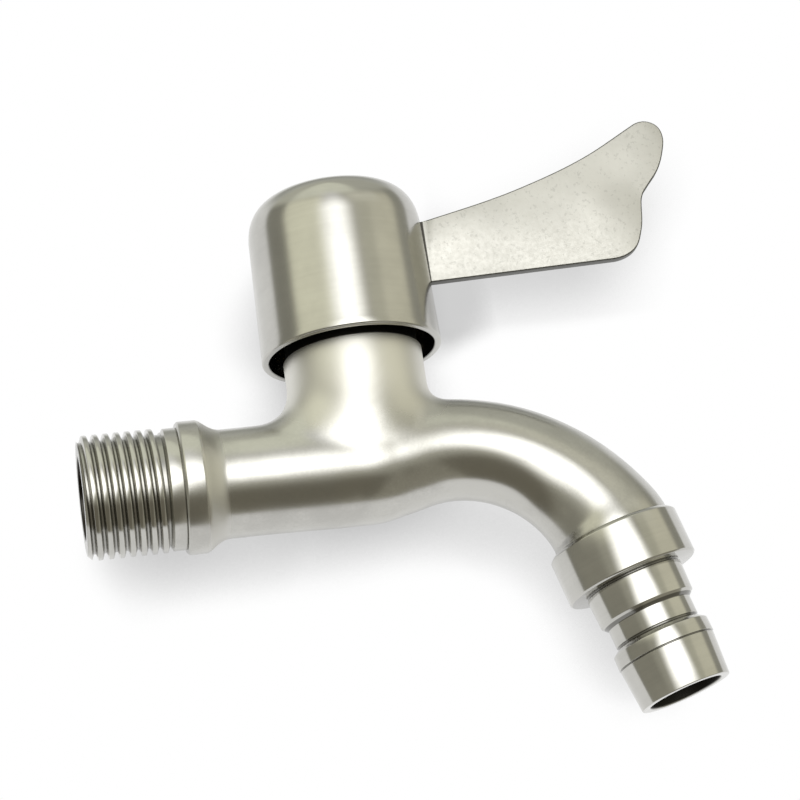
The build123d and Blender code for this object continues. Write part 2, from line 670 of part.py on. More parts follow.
# Grub screw from the back of the cap onto the spline
with BuildPart() as grub_screw:
    with BuildSketch(grub_plane.offset(SPLINE_R)):
        Circle(GRUB_R)
    extrude(amount=grub_length)
    chamfer(grub_screw.edges().group_by(Axis.Y)[0], GRUB_POINT)
    with BuildSketch(grub_plane.offset(SPLINE_R + grub_length)):
        RegularPolygon(GRUB_SOCKET_AF / 2, 6, major_radius=False)
    extrude(amount=-GRUB_SOCKET_DEPTH, mode=Mode.SUBTRACT)

pieces = {
    "tap_body": tap_body,
    "hose_nozzle": hose_nozzle,
    "nozzle_washer": nozzle_washer,
    "cartridge_housing": cartridge_housing,
    "housing_gasket": housing_gasket,
    "seat_seal": seat_seal,
    "seal_ring": seal_ring,
    "fixed_disc": fixed_disc,
    "moving_disc": moving_disc,
    "spindle": spindle,
    "slip_washer": slip_washer,
    "spindle_o_ring_lower": spindle_o_ring_lower,
    "spindle_o_ring_upper": spindle_o_ring_upper,
    "spindle_circlip": spindle_circlip,
    "handle_cap": handle_cap,
    "lever_blade": lever_blade,
    "handle_insert": handle_insert,
    "grub_screw": grub_screw,
}
for name, piece in pieces.items():
    piece.part.label = name
    export_step(piece.part, f"parts/{name}.step")
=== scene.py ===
"""Wall bib tap in stainless steel: casting, screw-on hose nozzle, domed cap and wing lever."""

import json
from functools import reduce
from math import atan2, cos, hypot, pi, radians, sin, tan

import bmesh
import bpy
import numpy as np
from bpy.props import FloatProperty, FloatVectorProperty, IntProperty, PointerProperty
from mathutils import Matrix, Vector


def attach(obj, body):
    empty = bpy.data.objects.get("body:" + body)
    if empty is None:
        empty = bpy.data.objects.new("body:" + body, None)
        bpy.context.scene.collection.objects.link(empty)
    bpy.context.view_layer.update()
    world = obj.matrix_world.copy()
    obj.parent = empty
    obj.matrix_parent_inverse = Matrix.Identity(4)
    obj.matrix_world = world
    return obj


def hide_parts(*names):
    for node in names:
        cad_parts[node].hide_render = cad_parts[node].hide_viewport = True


bl_info = {
    "name": "Wall Bib Tap",
    "version": (1, 0, 0),
    "blender": (4, 5, 0),
    "location": "3D Viewport > Sidebar > Bib Tap",
    "description": "Dresses the packed bib tap with turned, cast and sheet-metal surfaces",
    "category": "Object",
}

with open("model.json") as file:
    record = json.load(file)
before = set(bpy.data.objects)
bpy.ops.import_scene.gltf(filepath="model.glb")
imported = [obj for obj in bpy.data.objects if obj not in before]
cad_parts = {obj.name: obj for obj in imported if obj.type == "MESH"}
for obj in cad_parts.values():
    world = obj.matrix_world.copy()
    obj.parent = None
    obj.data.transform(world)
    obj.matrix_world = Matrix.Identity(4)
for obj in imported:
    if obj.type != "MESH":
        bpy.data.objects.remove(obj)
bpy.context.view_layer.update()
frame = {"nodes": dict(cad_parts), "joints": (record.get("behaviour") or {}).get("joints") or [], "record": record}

MM = 0.001

# The frame's fixed places, in millimetres: the valve's axis and the spout's centreline
VALVE_X = frame["joints"][0]["pos_m"][0] / MM
SWAY_START_X = 43.8
SWAY_R = 56.0
SWAY_TURN = radians(12.0)
ARCH_CENTRE = (61.472, -27.142)
ARCH_R = 29.0
ARCH_END = radians(60.0)
DROP_CENTRE = (74.463, -19.642)
DROP_R = 14.0
NOZZLE_HEADING = radians(74.5)
NOZZLE_ORIGIN = Vector((87.954, 0.0, -15.901))
NOZZLE_AXIS = Vector((cos(NOZZLE_HEADING), 0.0, -sin(NOZZLE_HEADING)))
NECK_ROUND_Z = 0.0
NECK_TOP_Z = 24.6

# Where the smooth middle of the casting meets its turned ends
WAIST_CUT_X = 29.0
NECK_CUT_Z = 17.6
NECK_EDGE_Z = 20.35
SPOUT_HALF_X = 70.0
SEAM = 0.15
FILLET_POWER = 2.4
SKIN_REACH = 14.0
FAIRING_ROUNDS = 14
SOFTENING_ROUNDS = 8

# Hidden bores: radii, and depths along the valve's or the spout's axis
HOUSING_R = 10.55
HOUSING_FOOT_Z = 14.5
CHAMBER_R = 9.7
CHAMBER_NARROW_R = 8.7
SEAT_Z = 1.5
SEAT_BORE_R = 4.5
SEAT_BORE_END_Z = -3.0
SPIGOT_R = 8.331
SPIGOT_LENGTH = 5.6
SPOUT_BORE_R = 5.4
SOCKET_R = 8.431
SOCKET_DEPTH = 7.1

# The blade's slot in the cap
SLOT_LOW_Z = 32.0
SLOT_HIGH_Z = 43.5
SLOT_CLEARANCE = 0.2

# Tones that don't follow the steel's colour
WHITE = (1.0, 1.0, 1.0, 1.0)
# painted shade: near-black for the lines under the nozzle's steps and where the blade enters the cap's slot
SHADE_TONE = (0.05, 0.048, 0.042, 1.0)
# painted shade: near-black for the inside of the bores and the neck's end inside the cap
UNLIT = (0.035, 0.034, 0.03, 1.0)
# width and strength of the painted shade lines under the nozzle's steps
SHADE_LINE_EDGE = 0.06
SHADE_LINE_SHARE = 0.7

# How strongly the turning lines of a turned or brushed piece lift its surface
GROOVES = 0.02

# What the camera aims at, how far beside and over it the view's middle lies, and the table's
# reach from there, in millimetres
AIM = Vector((60.0, 0.0, 0.0))
AIM_LEFT = 6.05
AIM_UP = 10.53
TABLE_HALF = 400.0

# The studio that the metal mirrors, with azimuth 0 in front of the tap. Each card is a stretch
# of azimuth, a stretch of elevation, its softness, all in degrees, and its radiance.
ROOM = (0.476, 0.464, 0.387, 1.0)
CARDS = (
    # ceiling, in front and to the right
    ((-240, 38), (44, 120), 8, (0.94, 0.952, 0.81, 1.0)),
    ((38, 240), (44, 120), 8, (0.607, 0.607, 0.53, 1.0)),
    # dimmer ceiling at the left and behind
    ((-240, -70), (38, 120), 12, (0.655, 0.655, 0.56, 1.0)),
    # walls: left, dim strip and right
    ((-75, -18), (7, 44), 7, (1.02, 1.01, 0.81, 1.0)),
    ((27, 45), (-6, 40), 6, (0.631, 0.619, 0.5, 1.0)),
    ((44, 84), (-20, 40), 6, (0.821, 0.798, 0.643, 1.0)),
    # dark edges of the room
    ((-240, -77), (-20, 44), 6, (0.321, 0.315, 0.268, 1.0)),
    ((88, 240), (-20, 46), 6, (0.393, 0.387, 0.333, 1.0)),
    # dark corner low on the left
    ((-100, -48), (-22, 4), 8, (0.357, 0.345, 0.286, 1.0)),
    # dark floor below
    ((-240, 32), (-120, -27), 10, (0.196, 0.181, 0.14, 1.0)),
    ((32, 240), (-120, -22), 7, (0.357, 0.339, 0.274, 1.0)),
    # between right wall and ceiling
    ((18, 62), (29, 43), 9, (0.905, 0.893, 0.762, 1.0)),
)
SOFTBOX_TINT = (1.0, 1.0, 0.985)
TABLE_TONE = (0.845, 0.857, 0.82, 1.0)
OVER_TABLE_TONE = (0.43, 0.435, 0.393, 1.0)


def millimetres(name, description, default, low=0.0, high=200.0):
    """A length property, kept in metres and given in millimetres."""
    return FloatProperty(
        name=name,
        description=description,
        default=default * MM,
        min=low * MM,
        max=high * MM,
        unit="LENGTH",
        subtype="DISTANCE",
        precision=5,
    )


def colour(name, description, default):
    """A linear colour property."""
    return FloatVectorProperty(
        name=name,
        description=description,
        default=default,
        size=3,
        subtype="COLOR",
        min=0.0,
        max=1.0,
    )


def factor(name, description, default):
    """A share from 0 to 1."""
    return FloatProperty(
        name=name, description=description, default=default, min=0.0, max=1.0, subtype="FACTOR"
    )


def angle(name, description, default):
    """An angle property, given in degrees."""
    return FloatProperty(
        name=name,
        description=description,
        default=radians(default),
        subtype="ANGLE",
        unit="ROTATION",
    )


class TapCastingSizes(bpy.types.PropertyGroup):
    """Sizes of the cast body."""

    belly_radius: millimetres("Belly radius", "Tube radius under the neck", 9.45)
    waist_radius: millimetres("Waist radius", "Tube radius behind the collar", 9.2)
    neck_radius: millimetres("Neck radius", "Radius of the neck under the cap", 11.9)
    neck_front: millimetres("Neck foot", "Half the neck's depth where it meets the tube", 9.38)
    neck_spigot: millimetres("Neck spigot", "Radius of the neck's end inside the cap", 11.35)
    blend_left: millimetres("Blend, inlet side", "Fillet between tube and neck, inlet side", 7.2)
    blend_right: millimetres("Blend, spout side", "Fillet between neck and spout", 3.2)
    voxel: millimetres("Skin step", "Mesh step of the smooth skin", 0.42)
    collar_radius: millimetres("Collar radius", "Radius of the wall collar", 11.2)
    land_radius: millimetres("Land radius", "Plain land behind the thread", 10.28)
    inlet_bore: millimetres("Inlet bore", "Radius of the inlet's bore", 7.0)
    segments: IntProperty(name="Segments", description="Steps round a turned part", default=224)


class TapThreadSizes(bpy.types.PropertyGroup):
    """Sizes of the pipe thread."""

    crest_radius: millimetres("Crest radius", "Radius over the thread's crests", 10.478)
    pitch: millimetres("Pitch", "Distance from crest to crest", 1.814)
    depth: millimetres("Depth", "Height of the ridge over its root", 1.1)
    crest_width: millimetres("Crest width", "Flat on top of the ridge", 0.76)
    root_width: millimetres("Foot width", "Width of the ridge at its root", 1.56)
    lead_in: millimetres("Lead-in", "Cone turned on the pipe's end", 0.9)
    length: millimetres("Length", "Where the ridge runs out", 14.2)


class TapNozzleSizes(bpy.types.PropertyGroup):
    """Sizes of the hose nozzle."""

    collar_radius: millimetres("Collar radius", "Radius of the plain collar", 11.5)
    collar_length: millimetres("Collar length", "Length of the plain collar", 8.6)
    bore_radius: millimetres("Bore radius", "Radius of the outlet's bore", 6.3)
    segments: IntProperty(name="Segments", description="Steps round the nozzle", default=256)


class TapHandleSizes(bpy.types.PropertyGroup):
    """Sizes of the cap and its lever."""

    rim_radius: millimetres("Rim radius", "Radius of the cap at its open rim", 15.49)
    rim_height: millimetres("Rim height", "Height of the rim over the inlet's axis", 20.6)
    shoulder_radius: millimetres("Shoulder radius", "Radius where the dome starts", 14.95)
    shoulder_height: millimetres("Shoulder height", "Height where the dome starts", 43.8)
    dome_radius: millimetres("Dome corner", "Radius of the dome's corner", 6.0)
    crown: millimetres("Crown", "Rise of the dome's middle", 0.4)
    wall: millimetres("Wall", "Thickness of the cap's sheet", 1.2)
    key_radius: millimetres("Key hole", "Radius of the hole at the back", 2.9)
    key_height: millimetres("Key hole height", "Height of the hole's middle", 39.6)
    blade: millimetres("Blade", "Thickness of the lever's sheet", 1.8)
    blade_edge: millimetres("Blade edge", "Rounding of the lever's edges", 0.45)


class TapFinishes(bpy.types.PropertyGroup):
    """Colours and roughness of the metals and of the pieces inside."""

    steel: colour("Steel", "Colour of the stainless steel", (0.521, 0.514, 0.483))
    cast_roughness: factor("Casting roughness", "Satin finish of the casting", 0.225)
    neck_roughness: factor("Neck roughness", "Duller finish of the neck and the cove", 0.45)
    turned_roughness: factor("Nozzle roughness", "Bright finish of the nozzle", 0.13)
    cap_roughness: factor("Cap roughness", "Brushed finish of the cap", 0.17)
    blade_roughness: factor("Blade roughness", "Tumbled finish of the lever", 0.4)
    brass: colour("Brass", "Colour of the cartridge", (0.72, 0.53, 0.26))
    ceramic: colour("Ceramic", "Colour of the discs", (0.88, 0.87, 0.83))
    rubber: colour("Rubber", "Colour of seals and rings", (0.03, 0.03, 0.032))
    plastic: colour("Plastic", "Colour of the slip washer", (0.8, 0.78, 0.72))
    screw: colour("Screw", "Colour of the blackened screw", (0.16, 0.16, 0.17))


class TapStage(bpy.types.PropertyGroup):
    """The table behind the tap, the light and the camera."""

    table_depth: millimetres("Table depth", "Where the table lies behind the tap", 16.0)
    shade_reach: millimetres("Shade reach", "How far the table's soft shade spreads", 18.0)
    softbox: FloatProperty(name="Softbox", description="Radiance of the softbox", default=3.21)
    lens: FloatProperty(
        name="Lens", description="Focal length, mm on a 36 mm sensor", default=132.336
    )
    distance: millimetres("Distance", "From the aim point to the camera", 498.0, high=2000.0)
    azimuth: angle("Azimuth", "The camera's place round the tap, from its front", -9.26)
    elevation: angle("Elevation", "The camera's height over the tap, less than 0 below", -17.96)
    roll: angle("Roll", "The camera's tilt to its right", -8.64)


# ---- Meshes ----


def place(axis, origin):
    """A frame whose Z is the axis, in millimetres."""
    z = Vector(axis).normalized()
    x = Vector((0.0, 1.0, 0.0))
    return Matrix.Translation(origin) @ Matrix((x, z.cross(x), z)).transposed().to_4x4()


AXIS_X = place((1, 0, 0), (0, 0, 0))
AXIS_VALVE = place((0, 0, 1), (VALVE_X, 0, 0))
AXIS_NOZZLE = place(NOZZLE_AXIS, NOZZLE_ORIGIN)


def rounded(profile, closed=False):
    """A profile's points, with each corner that has a radius turned into a small arc.

    Each entry is (radius from the axis, place along it, rounding of the corner).
    """
    points = []
    count = len(profile)
    for i, (r, s, rounding) in enumerate(profile):
        here = Vector((r, s))
        ends = not closed and i in (0, count - 1)
        if not rounding or ends:
            points.append((r, s))
            continue
        before = Vector(profile[i - 1][:2]) - here
        after = Vector(profile[(i + 1) % count][:2]) - here
        inside = before.angle(after)
        back = min(rounding / tan(inside / 2), before.length * 0.48, after.length * 0.48)
        radius = back * tan(inside / 2)
        a, b = here + before.normalized() * back, here + after.normalized() * back
        middle = here + (before.normalized() + after.normalized()).normalized() * (
            radius / sin(inside / 2)
        )
        sweep = pi - inside
        steps = max(2, round(sweep / radians(18)))
        start = atan2(*(a - middle).yx)
        turn = atan2(*(b - middle).yx) - start
        turn = (turn + pi) % (2 * pi) - pi
        for k in range(steps + 1):
            angle = start + turn * k / steps
            points.append((middle.x + radius * cos(angle), middle.y + radius * sin(angle)))
    return points


def turned_rings(bm, profile, segments, matrix):
    """Rings of vertices for a turned profile; a point on the axis gives one vertex."""
    rings = []
    for r, s in profile:
        if r < 1e-6:
            rings.append([bm.verts.new(matrix @ Vector((0, 0, s)))])
            continue
        rings.append(
            [
                bm.verts.new(matrix @ Vector((r * cos(t), r * sin(t), s)))
                for t in (2 * pi * k / segments for k in range(segments))
            ]
        )
    return rings


def join_rings(bm, rings, closed=False):
    """Faces between neighbouring rings, and back to the first ring if closed."""
    pairs = list(zip(rings, rings[1:]))
    if closed:
        pairs.append((rings[-1], rings[0]))
    for low, high in pairs:
        count = max(len(low), len(high))
        for k in range(count):
            n = (k + 1) % count
            corners = []
            for ring, index in ((low, k), (low, n), (high, n), (high, k)):
                vert = ring[index % len(ring)]
                if vert not in corners:
                    corners.append(vert)
            bm.faces.new(corners)


def zip_rings(bm, ring, loop, matrix):
    """Triangles between a turned ring and an uneven loop round the same axis."""
    inverse = matrix.inverted()

    def by_angle(verts):
        angles = [(atan2((inverse @ v.co).y, (inverse @ v.co).x), v.index, v) for v in verts]
        return [(a, v) for a, _, v in sorted(angles, key=lambda entry: entry[:2])]

    bm.verts.index_update()
    near, far = by_angle(ring), by_angle(loop)
    i, j = 0, 0
    while i < len(near) or j < len(far):
        a = near[i % len(near)][1]
        b = far[j % len(far)][1]
        next_a = near[(i + 1) % len(near)][0] + (2 * pi if i + 1 >= len(near) else 0)
        next_b = far[(j + 1) % len(far)][0] + (2 * pi if j + 1 >= len(far) else 0)
        if j >= len(far) or (i < len(near) and next_a <= next_b):
            bm.faces.new((a, near[(i + 1) % len(near)][1], b))
            i += 1
        else:
            bm.faces.new((a, far[(j + 1) % len(far)][1], b))
            j += 1


def linked(name, data):
    """A new object of the scene."""
    obj = bpy.data.objects.new(name, data)
    bpy.context.scene.collection.objects.link(obj)
    return obj


def to_mesh(name, bm):
    """A mesh from a bmesh, which is freed."""
    mesh = bpy.data.meshes.new(name)
    bm.to_mesh(mesh)
    bm.free()
    return mesh


def from_mesh(mesh):
    """A bmesh from a mesh, which is removed."""
    bm = bmesh.new()
    bm.from_mesh(mesh)
    bpy.data.meshes.remove(mesh)
    return bm


def finished(name, bm, material, sharp=28.0):
    """An object in metres from a mesh in millimetres, smooth but for its sharp edges."""
    bmesh.ops.recalc_face_normals(bm, faces=bm.faces)
    bmesh.ops.scale(bm, vec=(MM, MM, MM), verts=bm.verts)
    mesh = to_mesh(name, bm)
    mesh.shade_smooth()
    mesh.set_sharp_from_angle(angle=radians(sharp))
    mesh.materials.clear()
    mesh.materials.append(material)
    return linked(name, mesh)


def baked(obj):
    """The object's mesh with its modifiers applied, as a new mesh."""
    bpy.context.view_layer.update()
    depsgraph = bpy.context.evaluated_depsgraph_get()
    mesh = bpy.data.meshes.new_from_object(obj.evaluated_get(depsgraph), depsgraph=depsgraph)
    obj.modifiers.clear()
    return mesh


def cut_out(obj, cutters):
    """Takes each cutter's volume out of the object and removes the cutters."""
    for cutter in cutters:
        modifier = obj.modifiers.new("Cut", "BOOLEAN")
        modifier.operation = "DIFFERENCE"
        modifier.solver = "EXACT"
        modifier.object = cutter
    mesh = baked(obj)
    for cutter in cutters:
        bpy.data.objects.remove(cutter)
    obj.data = mesh


# ---- The casting's smooth skin ----


def arc_place(x, z, centre, radius, low, high, side):
    """The nearest place on an arc of the centreline and the arc's heading there."""
    dx, dz = side * (x - centre[0]), side * (z - centre[1])
    heading = np.clip(np.arctan2(dx, dz), low, high)
    px = centre[0] + side * radius * np.sin(heading)
    pz = centre[1] + side * radius * np.cos(heading)
    return px, pz, heading


def smooth_curve(x, stations, values):
    """A smooth curve through stations, level at both ends."""
    xs, ys = np.array(stations), np.array(values)
    steps = np.diff(xs)
    slopes = np.diff(ys) / steps
    tangents = np.zeros_like(ys)
    tangents[1:-1] = (slopes[:-1] * steps[1:] + slopes[1:] * steps[:-1]) / (steps[:-1] + steps[1:])
    k = np.clip(np.searchsorted(xs, x) - 1, 0, len(xs) - 2)
    t = np.clip((x - xs[k]) / steps[k], 0.0, 1.0)
    t2, t3 = t * t, t * t * t
    return (
        (2 * t3 - 3 * t2 + 1) * ys[k]
        + (t3 - 2 * t2 + t) * steps[k] * tangents[k]
        + (3 * t2 - 2 * t3) * ys[k + 1]
        + (t3 - t2) * steps[k] * tangents[k + 1]
    )


ARCH_START_STATION = SWAY_START_X + SWAY_R * SWAY_TURN
DROP_START_STATION = ARCH_START_STATION + ARCH_R * (ARCH_END + SWAY_TURN)
SPOUT_END_STATION = DROP_START_STATION + DROP_R * (NOZZLE_HEADING - ARCH_END)


def arch_station(degrees):
    """How far along the centreline the arch has a heading."""
    return ARCH_START_STATION + ARCH_R * (radians(degrees) + SWAY_TURN)


def tube_distance(points, sizes):
    """How far each point lies outside the tube, and the way out of the tube there."""
    x, y, z = points.T
    straight = np.clip(x, 0.0, SWAY_START_X)
    runs = [(straight, np.zeros_like(x), straight)]
    px, pz, heading = arc_place(x, z, (SWAY_START_X, SWAY_R), SWAY_R, -SWAY_TURN, 0.0, -1.0)
    runs.append((px, pz, SWAY_START_X - SWAY_R * heading))
    px, pz, heading = arc_place(x, z, ARCH_CENTRE, ARCH_R, -SWAY_TURN, ARCH_END, 1.0)
    runs.append((px, pz, ARCH_START_STATION + ARCH_R * (heading + SWAY_TURN)))
    px, pz, heading = arc_place(x, z, DROP_CENTRE, DROP_R, ARCH_END, NOZZLE_HEADING, 1.0)
    runs.append((px, pz, DROP_START_STATION + DROP_R * (heading - ARCH_END)))
    beyond = (x - NOZZLE_ORIGIN.x) * NOZZLE_AXIS.x + (z - NOZZLE_ORIGIN.z) * NOZZLE_AXIS.z
    beyond = np.clip(beyond, 0.0, 8.0)
    px, pz = NOZZLE_ORIGIN.x + beyond * NOZZLE_AXIS.x, NOZZLE_ORIGIN.z + beyond * NOZZLE_AXIS.z
    runs.append((px, pz, np.full_like(x, SPOUT_END_STATION)))
    runs = np.array(runs)
    nearest = np.hypot(x - runs[:, 0], z - runs[:, 1]).argmin(0)
    px, pz, station = runs[nearest, :, np.arange(len(x))].T
    out = np.array([x - px, y, z - pz])
    reach = np.maximum(np.sqrt((out**2).sum(0)), 1e-6)
    waist, belly = sizes.waist_radius / MM, sizes.belly_radius / MM
    stations = [WAIST_CUT_X, 36.4, SWAY_START_X, ARCH_START_STATION]
    radii = [waist, (waist + belly) / 2, belly, 9.08]
    for degrees, radius in ((-3, 8.79), (6, 8.64), (16, 8.59), (28, 8.68), (44, 9.06), (59, 9.73)):
        stations.append(arch_station(degrees))
        radii.append(radius)
    stations.append(SPOUT_END_STATION)
    radii.append(10.3)
    return reach - smooth_curve(station, stations, radii), out / reach


def neck_depth(z, sizes):
    """Half the neck's depth at a height, and how fast it grows: round above, narrower below."""
    radius, front = sizes.neck_radius / MM, sizes.neck_front / MM
    rise = NECK_CUT_Z - NECK_ROUND_Z
    share = np.clip((z - NECK_ROUND_Z) / rise, 0.0, 1.0)
    widening = (radius - front) * 6 * share * (1 - share) / rise
    return front + (radius - front) * share * share * (3 - 2 * share), widening


def neck_distance(points, sizes):
    """How far each point lies outside the neck, and the way out of it there."""
    x, y, z = points.T
    radius, front = sizes.neck_radius / MM, sizes.neck_front / MM
    depth, widening = neck_depth(z, sizes)
    stretch = radius / depth
    across = np.hypot(x - VALVE_X, y * stretch)
    below = np.minimum(z - NECK_ROUND_Z, 0.0) * radius / front
    tilt = below * radius / front - (y * stretch) ** 2 * widening / depth
    out = np.array([x - VALVE_X, y * stretch**2, tilt])
    out /= np.maximum(np.sqrt((out**2).sum(0)), 1e-6)
    return np.hypot(across, below) - radius, out


def skin_distance(points, sizes):
    """How far each point lies outside the tube and the neck, blended by a fillet.

    The fillet shrinks where the two surfaces run into each other at a flat angle.
    """
    (tube, tube_out), (neck, neck_out) = tube_distance(points, sizes), neck_distance(points, sizes)
    turn = np.arctan2(np.abs(points[:, 1]), points[:, 0] - VALVE_X) / pi
    share = np.clip(turn * 1.7, 0.0, 1.0)
    share = share * share * (3 - 2 * share)
    right, left = sizes.blend_right / MM, sizes.blend_left / MM
    alike = np.maximum((tube_out * neck_out).sum(0), 0.0)
    fillet = (right + (left - right) * share) * np.maximum(1 - alike**2, 0.07)
    corner = np.maximum(fillet - tube, 0.0) ** FILLET_POWER
    corner += np.maximum(fillet - neck, 0.0) ** FILLET_POWER
    return np.maximum(fillet, np.minimum(tube, neck)) - corner ** (1 / FILLET_POWER)


def pull_to_skin(points, sizes, rounds):
    """Moves points onto the skin along its slope."""
    step = 0.02
    for _ in range(rounds):
        value = skin_distance(points, sizes)
        slope = np.empty_like(points)
        for axis in range(3):
            shift = np.zeros(3)
            shift[axis] = step
            slope[:, axis] = (
                skin_distance(points + shift, sizes) - skin_distance(points - shift, sizes)
            ) / (2 * step)
        slope /= np.maximum((slope**2).sum(1), 0.05)[:, None]
        points = points - value[:, None] * slope
    return points


def relaxed(points, edges, amount):
    """One round of evening out: each point moves towards the middle of its neighbours."""
    total = np.zeros_like(points)
    count = np.zeros(len(points))
    for a, b in ((0, 1), (1, 0)):
        np.add.at(total, edges[:, a], points[edges[:, b]])
        np.add.at(count, edges[:, a], 1)
    return points + amount * (total / np.maximum(count, 1)[:, None] - points)


def centreline(station):
    """A place on the tube's centreline and the heading there."""
    if station < SWAY_START_X:
        return Vector((station, 0, 0)), 0.0
    if station < ARCH_START_STATION:
        heading = -(station - SWAY_START_X) / SWAY_R
        (x, z), radius = (SWAY_START_X, SWAY_R), -SWAY_R
    elif station < DROP_START_STATION:
        heading = (station - ARCH_START_STATION) / ARCH_R - SWAY_TURN
        (x, z), radius = ARCH_CENTRE, ARCH_R
    else:
        heading = min(ARCH_END + (station - DROP_START_STATION) / DROP_R, NOZZLE_HEADING)
        (x, z), radius = DROP_CENTRE, DROP_R
    centre = Vector((x + radius * sin(heading), 0, z + radius * cos(heading)))
    return centre + NOZZLE_AXIS * max(station - SPOUT_END_STATION, 0.0), heading


def past_spout(points):
    """How far points lie past the spout's end, along its axis."""
    return (points - np.array(NOZZLE_ORIGIN)) @ np.array(NOZZLE_AXIS)


def skin_mesh(sizes):
    """The closed skin of tube and neck, in millimetres, longer than needed at its three ends."""
    bm = bmesh.new()
    rough_tube = []
    for station in np.linspace(WAIST_CUT_X - 3.0, SPOUT_END_STATION + 2.0, 60):
        centre, heading = centreline(station)
        matrix = place((cos(heading), 0, -sin(heading)), centre)
        rough_tube.append(turned_rings(bm, [(9.3, 0.0)], 64, matrix)[0])
    join_rings(bm, rough_tube)
    bm.faces.new(rough_tube[0][::-1])
    bm.faces.new(rough_tube[-1])
    radius = sizes.neck_radius / MM - 0.1
    neck = [(0.0, NECK_ROUND_Z - 7.0), (6.0, NECK_ROUND_Z - 5.0), (radius - 1.0, NECK_ROUND_Z)]
    neck += [(radius, z) for z in np.linspace(NECK_ROUND_Z + 2.0, NECK_CUT_Z + 2.0, 14)]
    rings = turned_rings(bm, neck + [(0.0, NECK_CUT_Z + 2.0)], 64, AXIS_VALVE)
    join_rings(bm, rings)
    for vert in (v for ring in rings for v in ring):
        vert.co.y *= float(neck_depth(vert.co.z, sizes)[0]) / (radius + 0.1)
    bmesh.ops.recalc_face_normals(bm, faces=bm.faces)
    obj = linked("rough_skin", to_mesh("rough_skin", bm))
    remesh = obj.modifiers.new("Remesh", "REMESH")
    remesh.mode = "VOXEL"
    remesh.voxel_size = sizes.voxel / MM
    mesh = baked(obj)
    bpy.data.objects.remove(obj)

    count = len(mesh.vertices)
    points = np.empty(count * 3)
    mesh.vertices.foreach_get("co", points)
    points = points.reshape(-1, 3)
    edges = np.empty(len(mesh.edges) * 2, np.int64)
    mesh.edges.foreach_get("vertices", edges)
    edges = edges.reshape(-1, 2)
    ends = points[:, 0] < WAIST_CUT_X - 2.0
    ends |= points[:, 2] > NECK_CUT_Z + 1.2
    ends |= (past_spout(points) > 1.2) & (points[:, 0] > SPOUT_HALF_X)
    kept = points[ends].copy()
    for _ in range(FAIRING_ROUNDS):
        points = relaxed(points, edges, 0.5)
        points = pull_to_skin(points, sizes, 1)
        points[ends] = kept
    moved = pull_to_skin(points, sizes, 4)
    points[~ends] = moved[~ends]
    cut = np.minimum(points[:, 0] - WAIST_CUT_X, NECK_CUT_Z - points[:, 2])
    cut = np.minimum(cut, np.where(points[:, 0] > SPOUT_HALF_X, -past_spout(points), 9.0))
    soft = np.clip((cut - 0.4) / 3.0, 0.0, 1.0)[:, None] * 0.5
    for _ in range(SOFTENING_ROUNDS):
        points = relaxed(points, edges, soft)
    mesh.vertices.foreach_set("co", points.ravel())
    mesh.update()
    return mesh


def open_end(bm, origin, axis, reach):
    """Cuts the skin square to an axis, drops what lies beyond and returns the new open loop."""
    origin, axis = Vector(origin), Vector(axis)

    def past(vert):
        return (vert.co - origin).dot(axis)

    def on_cut(vert):
        return abs(past(vert)) < 2e-3

    def close(vert):
        return (vert.co - origin).length < reach

    def rim():
        return [e for e in bm.edges if e.is_boundary and close(e.verts[0])]

    near = [v for v in bm.verts if close(v)]
    faces = {f for v in near for f in v.link_faces}
    edges = {e for f in faces for e in f.edges}
    bmesh.ops.bisect_plane(
        bm, geom=near + list(edges) + list(faces), dist=1e-4, plane_co=origin, plane_no=axis
    )
    beyond = [v for v in bm.verts if past(v) > 1e-3 and close(v)]
    bmesh.ops.delete(bm, geom=beyond, context="VERTS")
    loop = {v for e in rim() if on_cut(e.verts[0]) for v in e.verts}
    bmesh.ops.remove_doubles(bm, verts=list(loop), dist=0.03)
    return list({v for e in rim() for v in e.verts if on_cut(v)})


